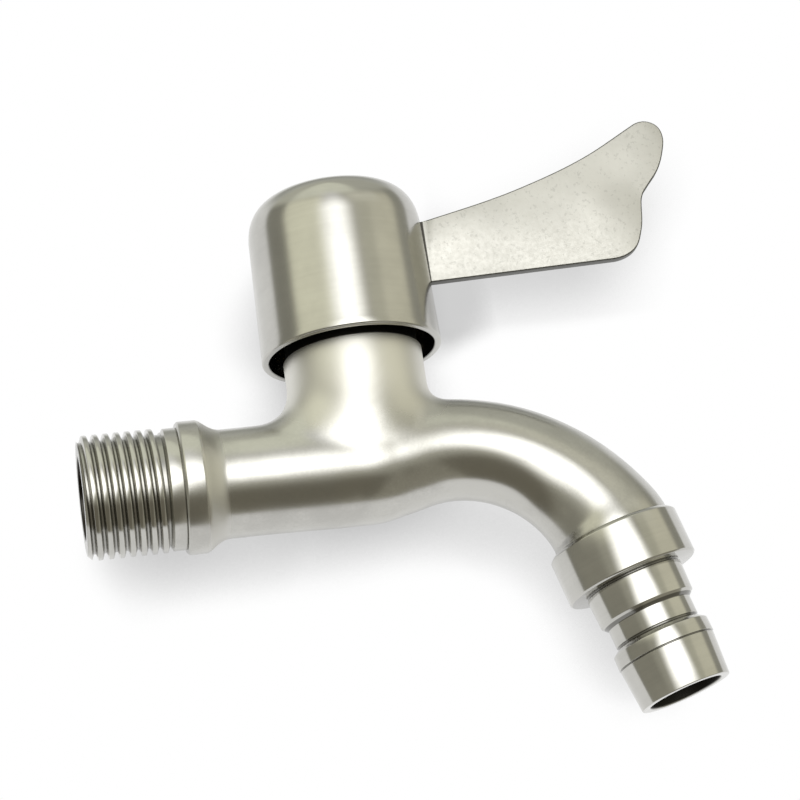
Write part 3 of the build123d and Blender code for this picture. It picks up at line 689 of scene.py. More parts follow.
def make_casting(sizes, thread, material):
    """The whole casting as one closed surface."""
    bm = from_mesh(skin_mesh(sizes))
    waist = sizes.waist_radius / MM
    neck, spigot = sizes.neck_radius / MM, sizes.neck_spigot / MM
    bore = sizes.inlet_bore / MM
    root = (thread.crest_radius - thread.depth) / MM
    land, collar = sizes.land_radius / MM, sizes.collar_radius / MM
    waist_loop = open_end(bm, (WAIST_CUT_X, 0, 0), (-1, 0, 0), SKIN_REACH)
    neck_loop = open_end(bm, (VALVE_X, 0, NECK_CUT_Z), (0, 0, 1), SKIN_REACH)
    spout_loop = open_end(bm, NOZZLE_ORIGIN - NOZZLE_AXIS * SEAM, NOZZLE_AXIS, SKIN_REACH - 0.5)

    def add_end(profile, matrix, loop, meeting):
        rings = turned_rings(bm, profile, sizes.segments, matrix)
        join_rings(bm, rings)
        zip_rings(bm, rings[meeting], loop, matrix)

    inlet = [
        (0.0, 28.0, 0), (bore - 1.2, 28.4, 0), (bore, 27.2, 0.3), (bore, 0.0, 0.25),
        (root, 0.0, 0.12), (root, 13.9, 0.15), (land, 14.4, 0.1), (land, 16.42, 0.1),
        (land - 0.18, 16.6, 0), (collar - 0.35, 16.6, 0), (collar, 16.95, 0.34), (collar, 19.8, 0),
    ]
    cove = [Vector(v) for v in ((collar, 19.8), (collar, 20.7), (waist, 22.1), (waist, 23.9))]
    profile = rounded(inlet) + bezier(cove, 24)
    profile += [(waist, 26.0), (waist, WAIST_CUT_X - SEAM)]
    add_end(profile, AXIS_X, waist_loop, -1)

    top = [
        (neck, NECK_CUT_Z + SEAM, 0), (neck, NECK_EDGE_Z, 0.35), (spigot, NECK_EDGE_Z, 0.1),
        (spigot, NECK_TOP_Z, 0.3), (HOUSING_R, NECK_TOP_Z, 0.2), (HOUSING_R, HOUSING_FOOT_Z, 0.2),
        (CHAMBER_R, HOUSING_FOOT_Z, 0.1), (CHAMBER_R, 9.0, 0.3), (CHAMBER_NARROW_R, 6.0, 0.3),
        (CHAMBER_NARROW_R, SEAT_Z, 0.3), (SEAT_BORE_R, SEAT_Z, 0.2),
        (SEAT_BORE_R, SEAT_BORE_END_Z, 0), (0.0, SEAT_BORE_END_Z, 0),
    ]
    add_end(rounded(top), AXIS_VALVE, neck_loop, 0)

    end = [
        (10.3, 0.0, 0), (SPIGOT_R, 0.0, 0.1), (SPIGOT_R, SPIGOT_LENGTH, 0.5),
        (SPOUT_BORE_R, SPIGOT_LENGTH, 0.2), (SPOUT_BORE_R, -2.0, 0), (0.0, -2.0, 0),
    ]
    add_end(rounded(end), AXIS_NOZZLE, spout_loop, 0)
    open_edges = [e for e in bm.edges if e.is_boundary]
    if open_edges:
        raise RuntimeError(f"the casting has {len(open_edges)} open edges")
    return finished("tap_casting", bm, material)


# ---- Nodes ----


class NodeTree:
    """Short calls that add and link nodes."""

    def __init__(self, tree):
        self.tree = tree

    def node(self, kind, **settings):
        """A new node with its settings."""
        made = self.tree.nodes.new(kind)
        for name, value in settings.items():
            setattr(made, name, value)
        return made

    def feed(self, socket, value):
        """Links a socket to another one, or sets its value."""
        if isinstance(value, bpy.types.NodeSocket):
            self.tree.links.new(value, socket)
        else:
            socket.default_value = value

    def fed(self, made, values):
        """The node, with its first inputs fed."""
        for socket, value in zip(made.inputs, values):
            self.feed(socket, value)
        return made

    def built(self, kind, values, **settings):
        """A new node with its settings, its inputs fed by name."""
        made = self.node(kind, **settings)
        for name, value in values.items():
            self.feed(made.inputs[name], value)
        return made

    def maths(self, operation, *values):
        """A number worked out from others."""
        return self.fed(self.node("ShaderNodeMath", operation=operation), values).outputs[0]

    def times(self, *values):
        """The product of two or more values."""
        return reduce(lambda a, b: self.maths("MULTIPLY", a, b), values)

    def weigh(self, a, b, share):
        """The sum of a share of the first value and the rest of the second."""
        return self.maths("ADD", self.times(a, share), self.times(b, 1 - share))

    def vector(self, operation, *values):
        """A vector worked out from others, or a length or dot product."""
        made = self.fed(self.node("ShaderNodeVectorMath", operation=operation), values)
        return made.outputs["Value" if operation in ("DOT_PRODUCT", "LENGTH") else "Vector"]

    def split(self, vector):
        """A vector's three parts."""
        return self.fed(self.node("ShaderNodeSeparateXYZ"), [vector]).outputs

    def join(self, *parts):
        """A vector from its parts."""
        return self.fed(self.node("ShaderNodeCombineXYZ"), parts).outputs[0]

    def ramp(self, value, low, high, to_low=0.0, to_high=1.0, smooth=True):
        """The value's way from low to high, carried over to another range."""
        kind = "SMOOTHSTEP" if smooth else "LINEAR"
        made = self.node("ShaderNodeMapRange", clamp=True, interpolation_type=kind)
        return self.fed(made, (value, low, high, to_low, to_high)).outputs[0]

    def band(self, value, rise, fall):
        """1 between two soft edges, each given as a pair of values."""
        return self.times(self.ramp(value, *rise), self.ramp(value, *fall, 1.0, 0.0))

    def noise(self, vector, scale, detail=2.0, roughness=0.5):
        """Noise in space, from 0 to 1."""
        values = {"Vector": vector, "Scale": scale, "Detail": detail, "Roughness": roughness}
        return self.built("ShaderNodeTexNoise", values).outputs["Fac"]

    def mix(self, share, a, b):
        """The way from one colour to another; a colour's sockets are the seventh and eighth."""
        made = self.node("ShaderNodeMix", data_type="RGBA")
        for index, value in ((0, share), (6, a), (7, b)):
            self.feed(made.inputs[index], value)
        return made.outputs[2]

    def bump(self, height, strength, distance, normal=None):
        """The normal of a surface that a height lifts by up to a distance."""
        values = {"Strength": strength, "Distance": distance, "Height": height}
        if normal:
            values["Normal"] = normal
        return self.built("ShaderNodeBump", values).outputs["Normal"]

    def rays(self):
        """1 for the camera's rays, and 1 for the rays that metal or glass sends on."""
        path = self.node("ShaderNodeLightPath").outputs
        mirrored = self.maths("MAXIMUM", path["Is Glossy Ray"], path["Is Transmission Ray"])
        return path["Is Camera Ray"], mirrored

    def close(self, kind, shader):
        """Links a shader to a new output node."""
        self.tree.links.new(shader.outputs[0], self.node(kind).inputs["Surface"])


def fresh_nodes(owner):
    """The emptied node tree of a material or a world."""
    owner.use_nodes = True
    owner.node_tree.nodes.clear()
    return NodeTree(owner.node_tree)


# ---- Geometry nodes ----


def new_tree(name, inputs):
    """A geometry node tree with named inputs; returns its helper, given sockets and output."""
    tree = bpy.data.node_groups.new(name, "GeometryNodeTree")
    tree.interface.new_socket("Geometry", in_out="INPUT", socket_type="NodeSocketGeometry")
    for label, kind in inputs.items():
        tree.interface.new_socket(label, in_out="INPUT", socket_type=f"NodeSocket{kind}")
    tree.interface.new_socket("Geometry", in_out="OUTPUT", socket_type="NodeSocketGeometry")
    helper = NodeTree(tree)
    given = helper.node("NodeGroupInput").outputs
    return helper, given, helper.node("NodeGroupOutput").inputs["Geometry"]


def end_tree(helper, source, given, result):
    """Realizes instances, sets the material and closes the tree."""
    realized = helper.built("GeometryNodeRealizeInstances", {"Geometry": source.outputs["Mesh"]})
    values = {"Geometry": realized.outputs["Geometry"], "Material": given["Material"]}
    helper.feed(result, helper.built("GeometryNodeSetMaterial", values).outputs["Geometry"])
    return helper.tree


def profile_curve(name, points, closed):
    """A flat curve object through points, for a tree to sweep."""
    curve = bpy.data.curves.new(name, "CURVE")
    curve.dimensions = "3D"
    spline = curve.splines.new("POLY")
    spline.points.add(len(points) - 1)
    for point, (x, y) in zip(spline.points, points):
        point.co = (x, y, 0.0, 1.0)
    spline.use_cyclic_u = closed
    return linked(name, curve)


def run_tree(obj, tree, values):
    """Runs a tree on an object and returns the resulting mesh."""
    modifier = obj.modifiers.new(tree.name, "NODES")
    modifier.node_group = tree
    for item in tree.interface.items_tree:
        if item.in_out == "INPUT" and item.name in values:
            modifier[item.identifier] = values[item.name]
    mesh = baked(obj)
    bpy.data.objects.remove(obj)
    return mesh


def upright_curve(helper, curve):
    """The curve with its normals kept square to Z, so that a section doesn't twist along it."""
    values = {"Curve": curve.outputs["Curve"]}
    return helper.built("GeometryNodeSetCurveNormal", values, mode="Z_UP").outputs["Curve"]


def helix_tree():
    """Sweeps the profile along a right-handed helix whose ends sink away."""
    inputs = {
        "Root Radius": "Float", "Pitch": "Float", "Turns": "Float", "Steps per Turn": "Int",
        "Run-out Share": "Float", "Material": "Material",
    }
    helper, given, result = new_tree("Thread Ridge", inputs)
    radius = given["Root Radius"]
    values = {
        "Resolution": given["Steps per Turn"], "Rotations": given["Turns"],
        "Start Radius": radius, "End Radius": radius,
        "Height": helper.times(given["Pitch"], given["Turns"]), "Reverse": True,
    }
    upright = upright_curve(helper, helper.built("GeometryNodeCurveSpiral", values))
    along = helper.node("GeometryNodeSplineParameter").outputs["Factor"]
    share = helper.maths("DIVIDE", helper.maths("SUBTRACT", 1.0, along), given["Run-out Share"])
    swell = helper.maths("MAXIMUM", helper.maths("MINIMUM", share, 1.0), 0.02)
    path = helper.built("GeometryNodeSetCurveRadius", {"Curve": upright, "Radius": swell})
    values = {
        "Curve": path.outputs["Curve"], "Profile Curve": given["Geometry"], "Scale": swell,
        "Fill Caps": True,
    }
    return end_tree(helper, helper.built("GeometryNodeCurveToMesh", values), given, result)


def turning_tree():
    """Sweeps a closed wall section round an axis."""
    inputs = {"Segments": "Int", "Path Radius": "Float", "Material": "Material"}
    helper, given, result = new_tree("Turned Wall", inputs)
    values = {"Resolution": given["Segments"], "Radius": given["Path Radius"]}
    circle = helper.built("GeometryNodeCurvePrimitiveCircle", values)
    values = {"Curve": upright_curve(helper, circle), "Profile Curve": given["Geometry"]}
    return end_tree(helper, helper.built("GeometryNodeCurveToMesh", values), given, result)


def make_thread(thread, material):
    """The pipe thread's ridge, laid on the casting's root cylinder."""
    root = (thread.crest_radius - thread.depth) / MM
    pitch, depth = thread.pitch / MM, thread.depth / MM
    half_crest, half_foot = thread.crest_width / MM / 2, thread.root_width / MM / 2
    flank = (half_foot - half_crest) / depth
    soft = 0.1
    section = [
        (-0.1, -half_foot - 0.1 * flank), (depth - soft, -half_crest - soft * flank),
        (depth - 0.03, -half_crest + 0.02), (depth, -half_crest + soft), (depth, half_crest - soft),
        (depth - 0.03, half_crest - 0.02), (depth - soft, half_crest + soft * flank),
        (-0.1, half_foot + 0.1 * flank),
    ]
    start = -0.6 * pitch
    turns = (thread.length / MM - start) / pitch
    mesh = run_tree(
        profile_curve("thread_section", section, True),
        helix_tree(),
        {
            "Root Radius": root, "Pitch": pitch, "Turns": turns, "Steps per Turn": 144,
            "Run-out Share": 0.45 / turns, "Material": material,
        },
    )
    bm = from_mesh(mesh)
    bmesh.ops.remove_doubles(bm, verts=bm.verts, dist=1e-4)
    lead, crest = thread.lead_in / MM, thread.crest_radius / MM
    for vert in bm.verts:
        vert.co.z = max(vert.co.z + start, 0.01)
        across = hypot(vert.co.x, vert.co.y)
        limit = min(crest, crest - lead + vert.co.z)
        if across > limit:
            vert.co.x *= limit / across
            vert.co.y *= limit / across
    bmesh.ops.transform(bm, matrix=AXIS_X, verts=bm.verts)
    return finished("inlet_thread_ridge", bm, material, 40.0)


def make_nozzle(sizes, material):
    """The hose nozzle as one turned wall."""
    collar, length = sizes.collar_radius / MM, sizes.collar_length / MM
    bore = sizes.bore_radius / MM
    section = [
        (SOCKET_R, 0.0, 0.12), (collar - 0.6, 0.0, 0.18), (collar, 0.6, 0.22),
        (collar, length - 0.3, 0.12), (collar - 0.3, length, 0.12), (8.35, length, 0.1),
        (8.35, length + 0.3, 0.1), (8.58, length + 0.4, 0.1), (8.4, 14.1, 0.12), (7.45, 15.0, 0.12),
        (7.45, 18.2, 0.1), (7.25, 18.3, 0.08), (7.25, 18.55, 0.08),
        (8.55, 19.5, 0.14), (8.6, 21.88, 0.06), (8.38, 21.95, 0.05), (8.38, 22.1, 0.05),
        (8.48, 22.2, 0.06), (7.96, 29.6, 0.16), (bore + 0.3, 29.6, 0.08),
        (bore, 29.3, 0.08), (bore, SOCKET_DEPTH, 0.1), (SOCKET_R, SOCKET_DEPTH, 0.1),
    ]
    path = 7.4
    points = [(r - path, -s) for r, s in rounded(section, closed=True)]
    mesh = run_tree(
        profile_curve("nozzle_section", points, True),
        turning_tree(),
        {"Segments": sizes.segments, "Path Radius": path, "Material": material},
    )
    bm = from_mesh(mesh)
    bmesh.ops.transform(bm, matrix=AXIS_NOZZLE, verts=bm.verts)
    return finished("hose_nozzle_turned", bm, material)


# ---- Handle ----


def bezier(handles, steps):
    """Points of a Bezier curve of any degree, without its first."""
    out = []
    for k in range(1, steps + 1):
        row = [Vector(h) for h in handles]
        while len(row) > 1:
            row = [a.lerp(b, k / steps) for a, b in zip(row, row[1:])]
        out.append(tuple(row[0]))
    return out


def inset(line, depth):
    """The line moved to its inner side by a depth; its last point stays on the axis."""
    pts = [Vector(p) for p in line]
    out = []
    for i, point in enumerate(pts):
        along = (pts[min(i + 1, len(pts) - 1)] - pts[max(i - 1, 0)]).normalized()
        out.append(tuple(point + Vector((-along.y, along.x)) * depth))
    return out[:-1] + [(0.0, out[-1][1])]


def make_cap(sizes, material):
    """The deep-drawn cap, with its slot for the blade and its key hole."""
    wall = sizes.wall / MM
    rim_r, rim_z = sizes.rim_radius / MM, sizes.rim_height / MM
    top_r, top_z = sizes.shoulder_radius / MM, sizes.shoulder_height / MM
    dome, crown = sizes.dome_radius / MM, sizes.crown / MM

    slope = (rim_r - top_r) / (top_z - rim_z)
    start_z = top_z - dome / 3
    peak = top_z + dome
    rises = (k / 16 * (start_z - rim_z) for k in range(17))
    side = [(rim_r - slope * rise, rim_z + rise) for rise in rises]
    start = Vector(side[-1])
    shoulder = [
        start, start + Vector((-slope * 2.1, 2.1)), start + Vector((-slope * 5.7, 5.7)),
        Vector((top_r - 0.38 * dome, peak)), Vector((top_r - dome, peak + 0.04)),
        Vector((top_r - 1.35 * dome, peak + 0.1)),
    ]
    outer = side + bezier(shoulder, 26)
    end = Vector(outer[-1])
    crest = peak + crown
    middle = [end, end + Vector((-2.3, 0.055)), Vector((2.4, crest)), Vector((0.0, crest))]
    outer += bezier(middle, 10)
    inner = inset(outer, wall)
    lip = 0.35
    edge = [
        (rim_r - wall + 0.12, rim_z), (rim_r - lip, rim_z), (rim_r - 0.15, rim_z + 0.06),
        (rim_r - 0.03, rim_z + 0.2),
    ]
    outer[0] = (rim_r, rim_z + lip)
    inner[0] = (rim_r - wall, rim_z + 0.12)
    profile = inner[::-1] + edge + outer
    bm = bmesh.new()
    join_rings(bm, turned_rings(bm, profile, 256, AXIS_VALVE))
    cap = finished("handle_cap_drawn", bm, material, 35.0)

    bm = bmesh.new()
    height, radius, reach = sizes.key_height / MM, sizes.key_radius / MM, 2 * rim_r
    key = Matrix.Translation((VALVE_X, 0, height)) @ Matrix.Rotation(-pi / 2, 4, "X")
    bmesh.ops.create_cone(
        bm, cap_ends=True, segments=64, radius1=radius, radius2=radius, depth=reach,
        matrix=key @ Matrix.Translation((0, 0, reach / 2)),
    )
    key_cutter = finished("key_cutter", bm, material)
    bm = bmesh.new()
    slot = Matrix.Translation((VALVE_X + rim_r, 0, (SLOT_LOW_Z + SLOT_HIGH_Z) / 2))
    slot @= Matrix.Diagonal(
        (rim_r / 2, sizes.blade / MM + SLOT_CLEARANCE, SLOT_HIGH_Z - SLOT_LOW_Z, 1)
    )
    bmesh.ops.create_cube(bm, size=1.0, matrix=slot)
    cut_out(cap, [key_cutter, finished("slot_cutter", bm, material)])
    cap.data.set_sharp_from_angle(angle=radians(35))
    return cap


def through(points, steps, start=None, end=None):
    """A smooth line through points, with given directions at its ends where they matter."""
    pts = [Vector(p) for p in points]
    tangents = []
    for i, p in enumerate(pts):
        if i == 0:
            tangents.append(Vector(start) if start else (pts[1] - p) / (pts[1] - p).length)
        elif i == len(pts) - 1:
            tangents.append(Vector(end) if end else (p - pts[-2]) / (p - pts[-2]).length)
        else:
            before, after = p - pts[i - 1], pts[i + 1] - p
            slope = before / before.length * after.length + after / after.length * before.length
            tangents.append(slope)
        tangents[-1].normalize()
    line = [tuple(pts[0])]
    for i in range(len(pts) - 1):
        a, b = pts[i], pts[i + 1]
        third = (b - a).length / 3
        line += bezier((a, a + tangents[i] * third, b - tangents[i + 1] * third, b), steps)
    return line


def blade_outline():
    """The wing's outline, out from the valve's axis and up from the inlet's axis."""
    top = through([(15.2, 43.4), (33.5, 48.1), (46.0, 52.9), (55.6, 58.2)], 14, start=(1, 0.24))
    tip = through(
        [(55.6, 58.2), (57.9, 58.70), (60.05, 57.55), (60.75, 55.2)],
        8, start=(0.87, 0.5), end=(0, -1),
    )
    wing = through(
        [(60.75, 55.2), (60.2, 52.6), (58.7, 49.2), (56.4, 46.35), (55.3, 44.9), (54.8, 43.4)],
        8, start=(0, -1), end=(-0.16, -1),
    )
    corner = through(
        [(54.8, 43.4), (53.9, 38.2), (52.3, 34.9), (48.0, 33.2)],
        10, start=(-0.16, -1), end=(-1, -0.03),
    )
    root = [(15.2, 32.1), (7.8, 32.1), (7.8, 43.4)]
    return top[:-1] + tip[:-1] + wing[:-1] + corner + root


def make_blade(sizes, material):
    """The flat wing lever, with rounded edges and its tongue inside the cap."""
    half = sizes.blade / MM / 2
    bm = bmesh.new()
    verts = [bm.verts.new((VALVE_X + x, -half, z)) for x, z in blade_outline()]
    face = bm.faces.new(verts)
    raised = bmesh.ops.extrude_face_region(bm, geom=[face])["geom"]
    raised = [v for v in raised if isinstance(v, bmesh.types.BMVert)]
    bmesh.ops.translate(bm, vec=(0, 2 * half, 0), verts=raised)
    bmesh.ops.recalc_face_normals(bm, faces=bm.faces)
    rims = [
        e for e in bm.edges
        if abs(abs(e.verts[0].co.y) - half) < 1e-4 and abs(e.verts[0].co.y - e.verts[1].co.y) < 1e-4
        and min(v.co.x for v in e.verts) > VALVE_X + 15.0
    ]
    bmesh.ops.bevel(
        bm, geom=rims, offset=sizes.blade_edge / MM, segments=4, profile=0.5, affect="EDGES",
        offset_type="OFFSET", clamp_overlap=True,
    )
    bmesh.ops.triangulate(bm, faces=[f for f in bm.faces if len(f.verts) > 4])
    return finished("lever_wing", bm, material, 40.0)


# ---- Materials ----


def new_material(name):
    """A material with a Principled shader; returns it, its node helper and the shader."""
    material = bpy.data.materials.new(name)
    helper = fresh_nodes(material)
    surface = helper.node("ShaderNodeBsdfPrincipled")
    helper.close("ShaderNodeOutputMaterial", surface)
    return material, helper, surface


def coat(helper, surface, tone, roughness, normal, metallic=1.0):
    """Feeds a Principled shader with a finish."""
    values = {"Base Color": tone, "Metallic": metallic, "Roughness": roughness, "Normal": normal}
    for name, value in values.items():
        helper.feed(surface.inputs[name], value)


def toned(base, share):
    """A colour made darker or lighter."""
    return tuple(min(c * share, 1.0) for c in base) + (1.0,)


def object_place(helper):
    """Where a point lies on the object, in metres."""
    return helper.node("ShaderNodeTexCoord").outputs["Object"]


def valve_reach(helper, coords):
    """How far a point lies from the valve's axis, in metres."""
    near = helper.vector("SUBTRACT", coords, (VALVE_X * MM, 0.0, 0.0))
    return helper.vector("LENGTH", helper.vector("MULTIPLY", near, (1.0, 1.0, 0.0)))


def round_axis(helper, coords, axis, origin):
    """How far along an axis a point lies, how far from it, and the way round it there."""
    local = helper.vector("SUBTRACT", coords, tuple(v * MM for v in origin))
    along = helper.vector("DOT_PRODUCT", local, tuple(axis))
    turn = helper.vector("CROSS_PRODUCT", tuple(axis), local)
    return along, helper.vector("LENGTH", turn), helper.vector("NORMALIZE", turn)


def turned_steel(
    name, finishes, roughness, axis, origin, anisotropy=0.0, bore=0.0, root=0.0, corners=()
):
    """Steel with fine turning or brushing lines that run round an axis.

    A bore is dull, and painted near-black as painted shade; a thread's root is painted darker
    than its crest as painted shade. Corners are stretches of the axis, in millimetres, where a
    dark line of painted shade lies under a step.
    """
    material, helper, surface = new_material(name)
    coords = object_place(helper)
    along, across, around = round_axis(helper, coords, axis, origin)
    lines = helper.join(along, across)
    fine = helper.noise(lines, 9000.0, 3.0, 0.6)
    coarse = helper.noise(lines, 1800.0, 2.0, 0.55)
    cloud = helper.noise(coords, 120.0, 3.0, 0.6)
    tone = helper.weigh(coarse, cloud, 0.25)
    base = finishes.steel
    metal = helper.mix(helper.ramp(tone, 0.3, 0.7), toned(base, 0.93), toned(base, 1.04))
    rough = helper.ramp(tone, 0.3, 0.7, roughness * 1.08, roughness * 0.94)
    # painted shade: the bore's inside is painted near-black, and it is also made rougher
    if bore:
        inside = helper.ramp(across, (bore + 0.05) * MM, (bore + 0.3) * MM, 1.0, 0.0)
        metal = helper.mix(inside, metal, UNLIT)
        rough = helper.maths("ADD", rough, helper.times(inside, 0.4))
    # painted shade: a dark line painted under each step, where shade falls
    for corner in corners:
        rise, fall = (((end - SHADE_LINE_EDGE) * MM, (end + SHADE_LINE_EDGE) * MM) for end in corner)
        step_shade = helper.times(helper.band(along, rise, fall), SHADE_LINE_SHARE)
        metal = helper.mix(step_shade, metal, SHADE_TONE)
    # painted shade: the thread's root painted darker than its crest
    if root:
        low = helper.ramp(across, root * MM, (root + 0.55) * MM, 1.0, 0.0)
        metal = helper.mix(low, metal, toned(base, 0.72))
    if anisotropy:
        surface.inputs["Anisotropic"].default_value = anisotropy
        turn = helper.node("ShaderNodeVectorTransform", vector_type="VECTOR")
        turn.convert_from, turn.convert_to = "OBJECT", "WORLD"
        helper.feed(surface.inputs["Tangent"], helper.fed(turn, [around]).outputs[0])
    bump = helper.bump(fine, GROOVES, 0.00002)
    coat(helper, surface, metal, rough, helper.bump(coarse, GROOVES, 0.00003, bump))
    return material


def satin_steel(name, finishes):
    """Cast and polished steel: faint clouds, fine grain and a slightly uneven surface.

    The neck and the cove behind the collar, which a wheel reaches badly, stay duller, and their
    colour is painted paler as a painted highlight. The thread's root is painted darker as painted
    shade, and the bore and the neck's end inside the cap are painted near-black as painted shade.
    """
    material, helper, surface = new_material(name)
    coords = object_place(helper)
    x, _, z = helper.split(coords)
    across = helper.vector("LENGTH", helper.vector("MULTIPLY", coords, (0.0, 1.0, 1.0)))
    neck = helper.times(
        helper.ramp(z, 0.003, 0.014),
        helper.ramp(valve_reach(helper, coords), 0.0125, 0.0165, 1.0, 0.0),
    )
    cove = helper.band(x, (0.0199, 0.0208), (0.0226, 0.0242))
    root = helper.times(
        helper.maths("LESS_THAN", across, 0.0096), helper.maths("LESS_THAN", x, 0.0140)
    )
    bore = helper.times(
        helper.ramp(across, 0.00705, 0.0073, 1.0, 0.0), helper.maths("LESS_THAN", x, 0.03)
    )
    # painted shade: the neck's end inside the cap
    shade_under_cap = helper.ramp(z, (NECK_EDGE_Z - 0.25) * MM, (NECK_EDGE_Z + 0.05) * MM)

    cloud = helper.noise(coords, 90.0, 4.0, 0.6)
    grain = helper.noise(coords, 2600.0, 3.0, 0.6)
    swell = helper.noise(coords, 160.0, 1.0, 0.4)
    base = finishes.steel
    tone = helper.ramp(helper.weigh(cloud, grain, 0.75), 0.35, 0.65)
    metal = helper.mix(tone, toned(base, 0.9), toned(base, 1.05))
    # painted highlight on the neck and the cove, painted shade in the thread's root
    for place_on, share in ((neck, 1.44), (cove, 1.12), (root, 0.7)):
        metal = helper.mix(place_on, metal, toned(base, share))
    # painted shade: the neck's end inside the cap and the inlet's bore painted near-black
    metal = helper.mix(helper.maths("MAXIMUM", shade_under_cap, bore), metal, UNLIT)

    smooth, dull = finishes.cast_roughness, finishes.neck_roughness
    rough = helper.ramp(cloud, 0.3, 0.7, smooth * 1.15, smooth * 0.85)
    duller = helper.times(helper.maths("MAXIMUM", neck, cove), dull - smooth)
    bump = helper.bump(swell, 0.12, 0.00006, helper.bump(grain, 0.08, 0.00003))
    coat(helper, surface, metal, helper.maths("ADD", rough, duller), bump)
    return material


def tumbled_steel(name, finishes):
    """Tumbled sheet: a soft matt sheen, fine specks, painted shade on the edges and at the cap's slot."""
    material, helper, surface = new_material(name)
    coords = object_place(helper)
    cloud = helper.noise(coords, 70.0, 4.0, 0.6)
    grain = helper.noise(coords, 1500.0, 3.0, 0.65)
    speck = helper.ramp(helper.noise(coords, 1700.0, 2.0, 0.6), 0.58, 0.68)
    # painted shade: a dark line on the blade where it enters the cap's slot
    slot_shade = helper.ramp(valve_reach(helper, coords), 0.01545, 0.01565, 1.0, 0.0)
    side = helper.maths("ABSOLUTE", helper.split(coords)["Y"])
    # painted shade: the sheet's edges painted dark
    edge = helper.ramp(side, 0.000886, 0.000899, 1.0, 0.0)
    base, roughness = finishes.steel, finishes.blade_roughness
    metal = helper.mix(helper.ramp(cloud, 0.35, 0.65), toned(base, 0.93), toned(base, 1.02))
    metal = helper.mix(helper.times(speck, 0.5), metal, toned(base, 0.7))
    metal = helper.mix(edge, metal, toned(base, 0.25))
    metal = helper.mix(slot_shade, metal, SHADE_TONE)
    rough = helper.ramp(grain, 0.3, 0.7, roughness * 0.92, roughness * 1.1)
    bump = helper.bump(cloud, 0.05, 0.0001, helper.bump(grain, 0.12, 0.00003))
    coat(helper, surface, metal, rough, bump)
    return material


def plain_finish(name, base, roughness, metallic=0.0, grain=900.0, depth=0.15):
    """A rubber, ceramic, plastic or small-part metal with its own grain."""
    material, helper, surface = new_material(name)
    coords = object_place(helper)
    cloud = helper.noise(coords, grain / 4, 3.0, 0.6)
    fine = helper.noise(coords, grain, 2.0, 0.5)
    tone = helper.mix(cloud, toned(base, 0.85), toned(base, 1.1))
    rough = helper.ramp(fine, 0.3, 0.7, roughness * 0.85, min(roughness * 1.15, 1.0))
    coat(helper, surface, tone, rough, helper.bump(fine, depth, 0.00004), metallic)
    return material


# ---- Stage ----


def studio_light(helper, azimuth, elevation, softbox):
    """The room, its cards and the softbox, by direction in degrees."""
    light = ROOM
    for (left, right), (low, high), soft, tone in CARDS:
        mask = helper.times(
            helper.band(azimuth, (left - soft, left + soft), (right - soft, right + soft)),
            helper.band(elevation, (low - soft, low + soft), (high - soft, high + soft)),
        )
        light = helper.mix(mask, light, tone)

    def lean(value, other, share):
        return helper.maths("ADD", value, helper.times(other, share))

    # the softbox over the camera: wide and bright below, narrower and fading above
    lamp = helper.times(
        helper.ramp(lean(azimuth, elevation, -0.15), -36.5, -8.5),
        helper.ramp(lean(azimuth, elevation, 0.42), 12.0, 36.0, 1.0, 0.0),
        helper.ramp(lean(elevation, azimuth, -0.35), -23.0, 1.0),
        helper.ramp(elevation, 40.0, 62.0, 1.0, 0.0),
    )
    level = helper.ramp(elevation, 9.0, 43.0, softbox, softbox * 0.32)
    return helper.mix(lamp, light, helper.join(*(helper.times(level, v) for v in SOFTBOX_TINT)))


def studio_world(stage):
    """A white backdrop, and a soft studio in front of it that the metal mirrors."""
    world = bpy.data.worlds.new("Studio")
    bpy.context.scene.world = world
    helper = fresh_nodes(world)
    x, y, z = helper.split(helper.node("ShaderNodeTexCoord").outputs["Generated"])
    azimuth = helper.maths("DEGREES", helper.maths("ARCTAN2", x, helper.times(y, -1.0)))
    elevation = helper.maths("DEGREES", helper.maths("ARCSINE", z))
    light = studio_light(helper, azimuth, elevation, stage.softbox)

    # the table behind the tap, and the dimmer room over it
    spread = helper.ramp(z, 0.55, 0.85, 0.0, 0.2)
    table = helper.ramp(
        helper.maths("ADD", y, helper.ramp(z, -0.6, -1.0, 0.0, 0.36)),
        helper.maths("SUBTRACT", 0.26, spread), helper.maths("ADD", 0.34, spread),
    )
    over = helper.ramp(elevation, 34.0, 58.0)
    light = helper.mix(table, light, TABLE_TONE)
    light = helper.mix(helper.times(table, over), light, OVER_TABLE_TONE)

    # white for the camera all round, and for metal and glass where the table stands
    camera, mirrored = helper.rays()
    mirrored = helper.times(mirrored, table, helper.maths("SUBTRACT", 1.0, over))
    light = helper.mix(helper.maths("MAXIMUM", camera, mirrored), light, WHITE)
    background = helper.built("ShaderNodeBackground", {"Color": light, "Strength": 1.0})
    helper.close("ShaderNodeOutputWorld", background)


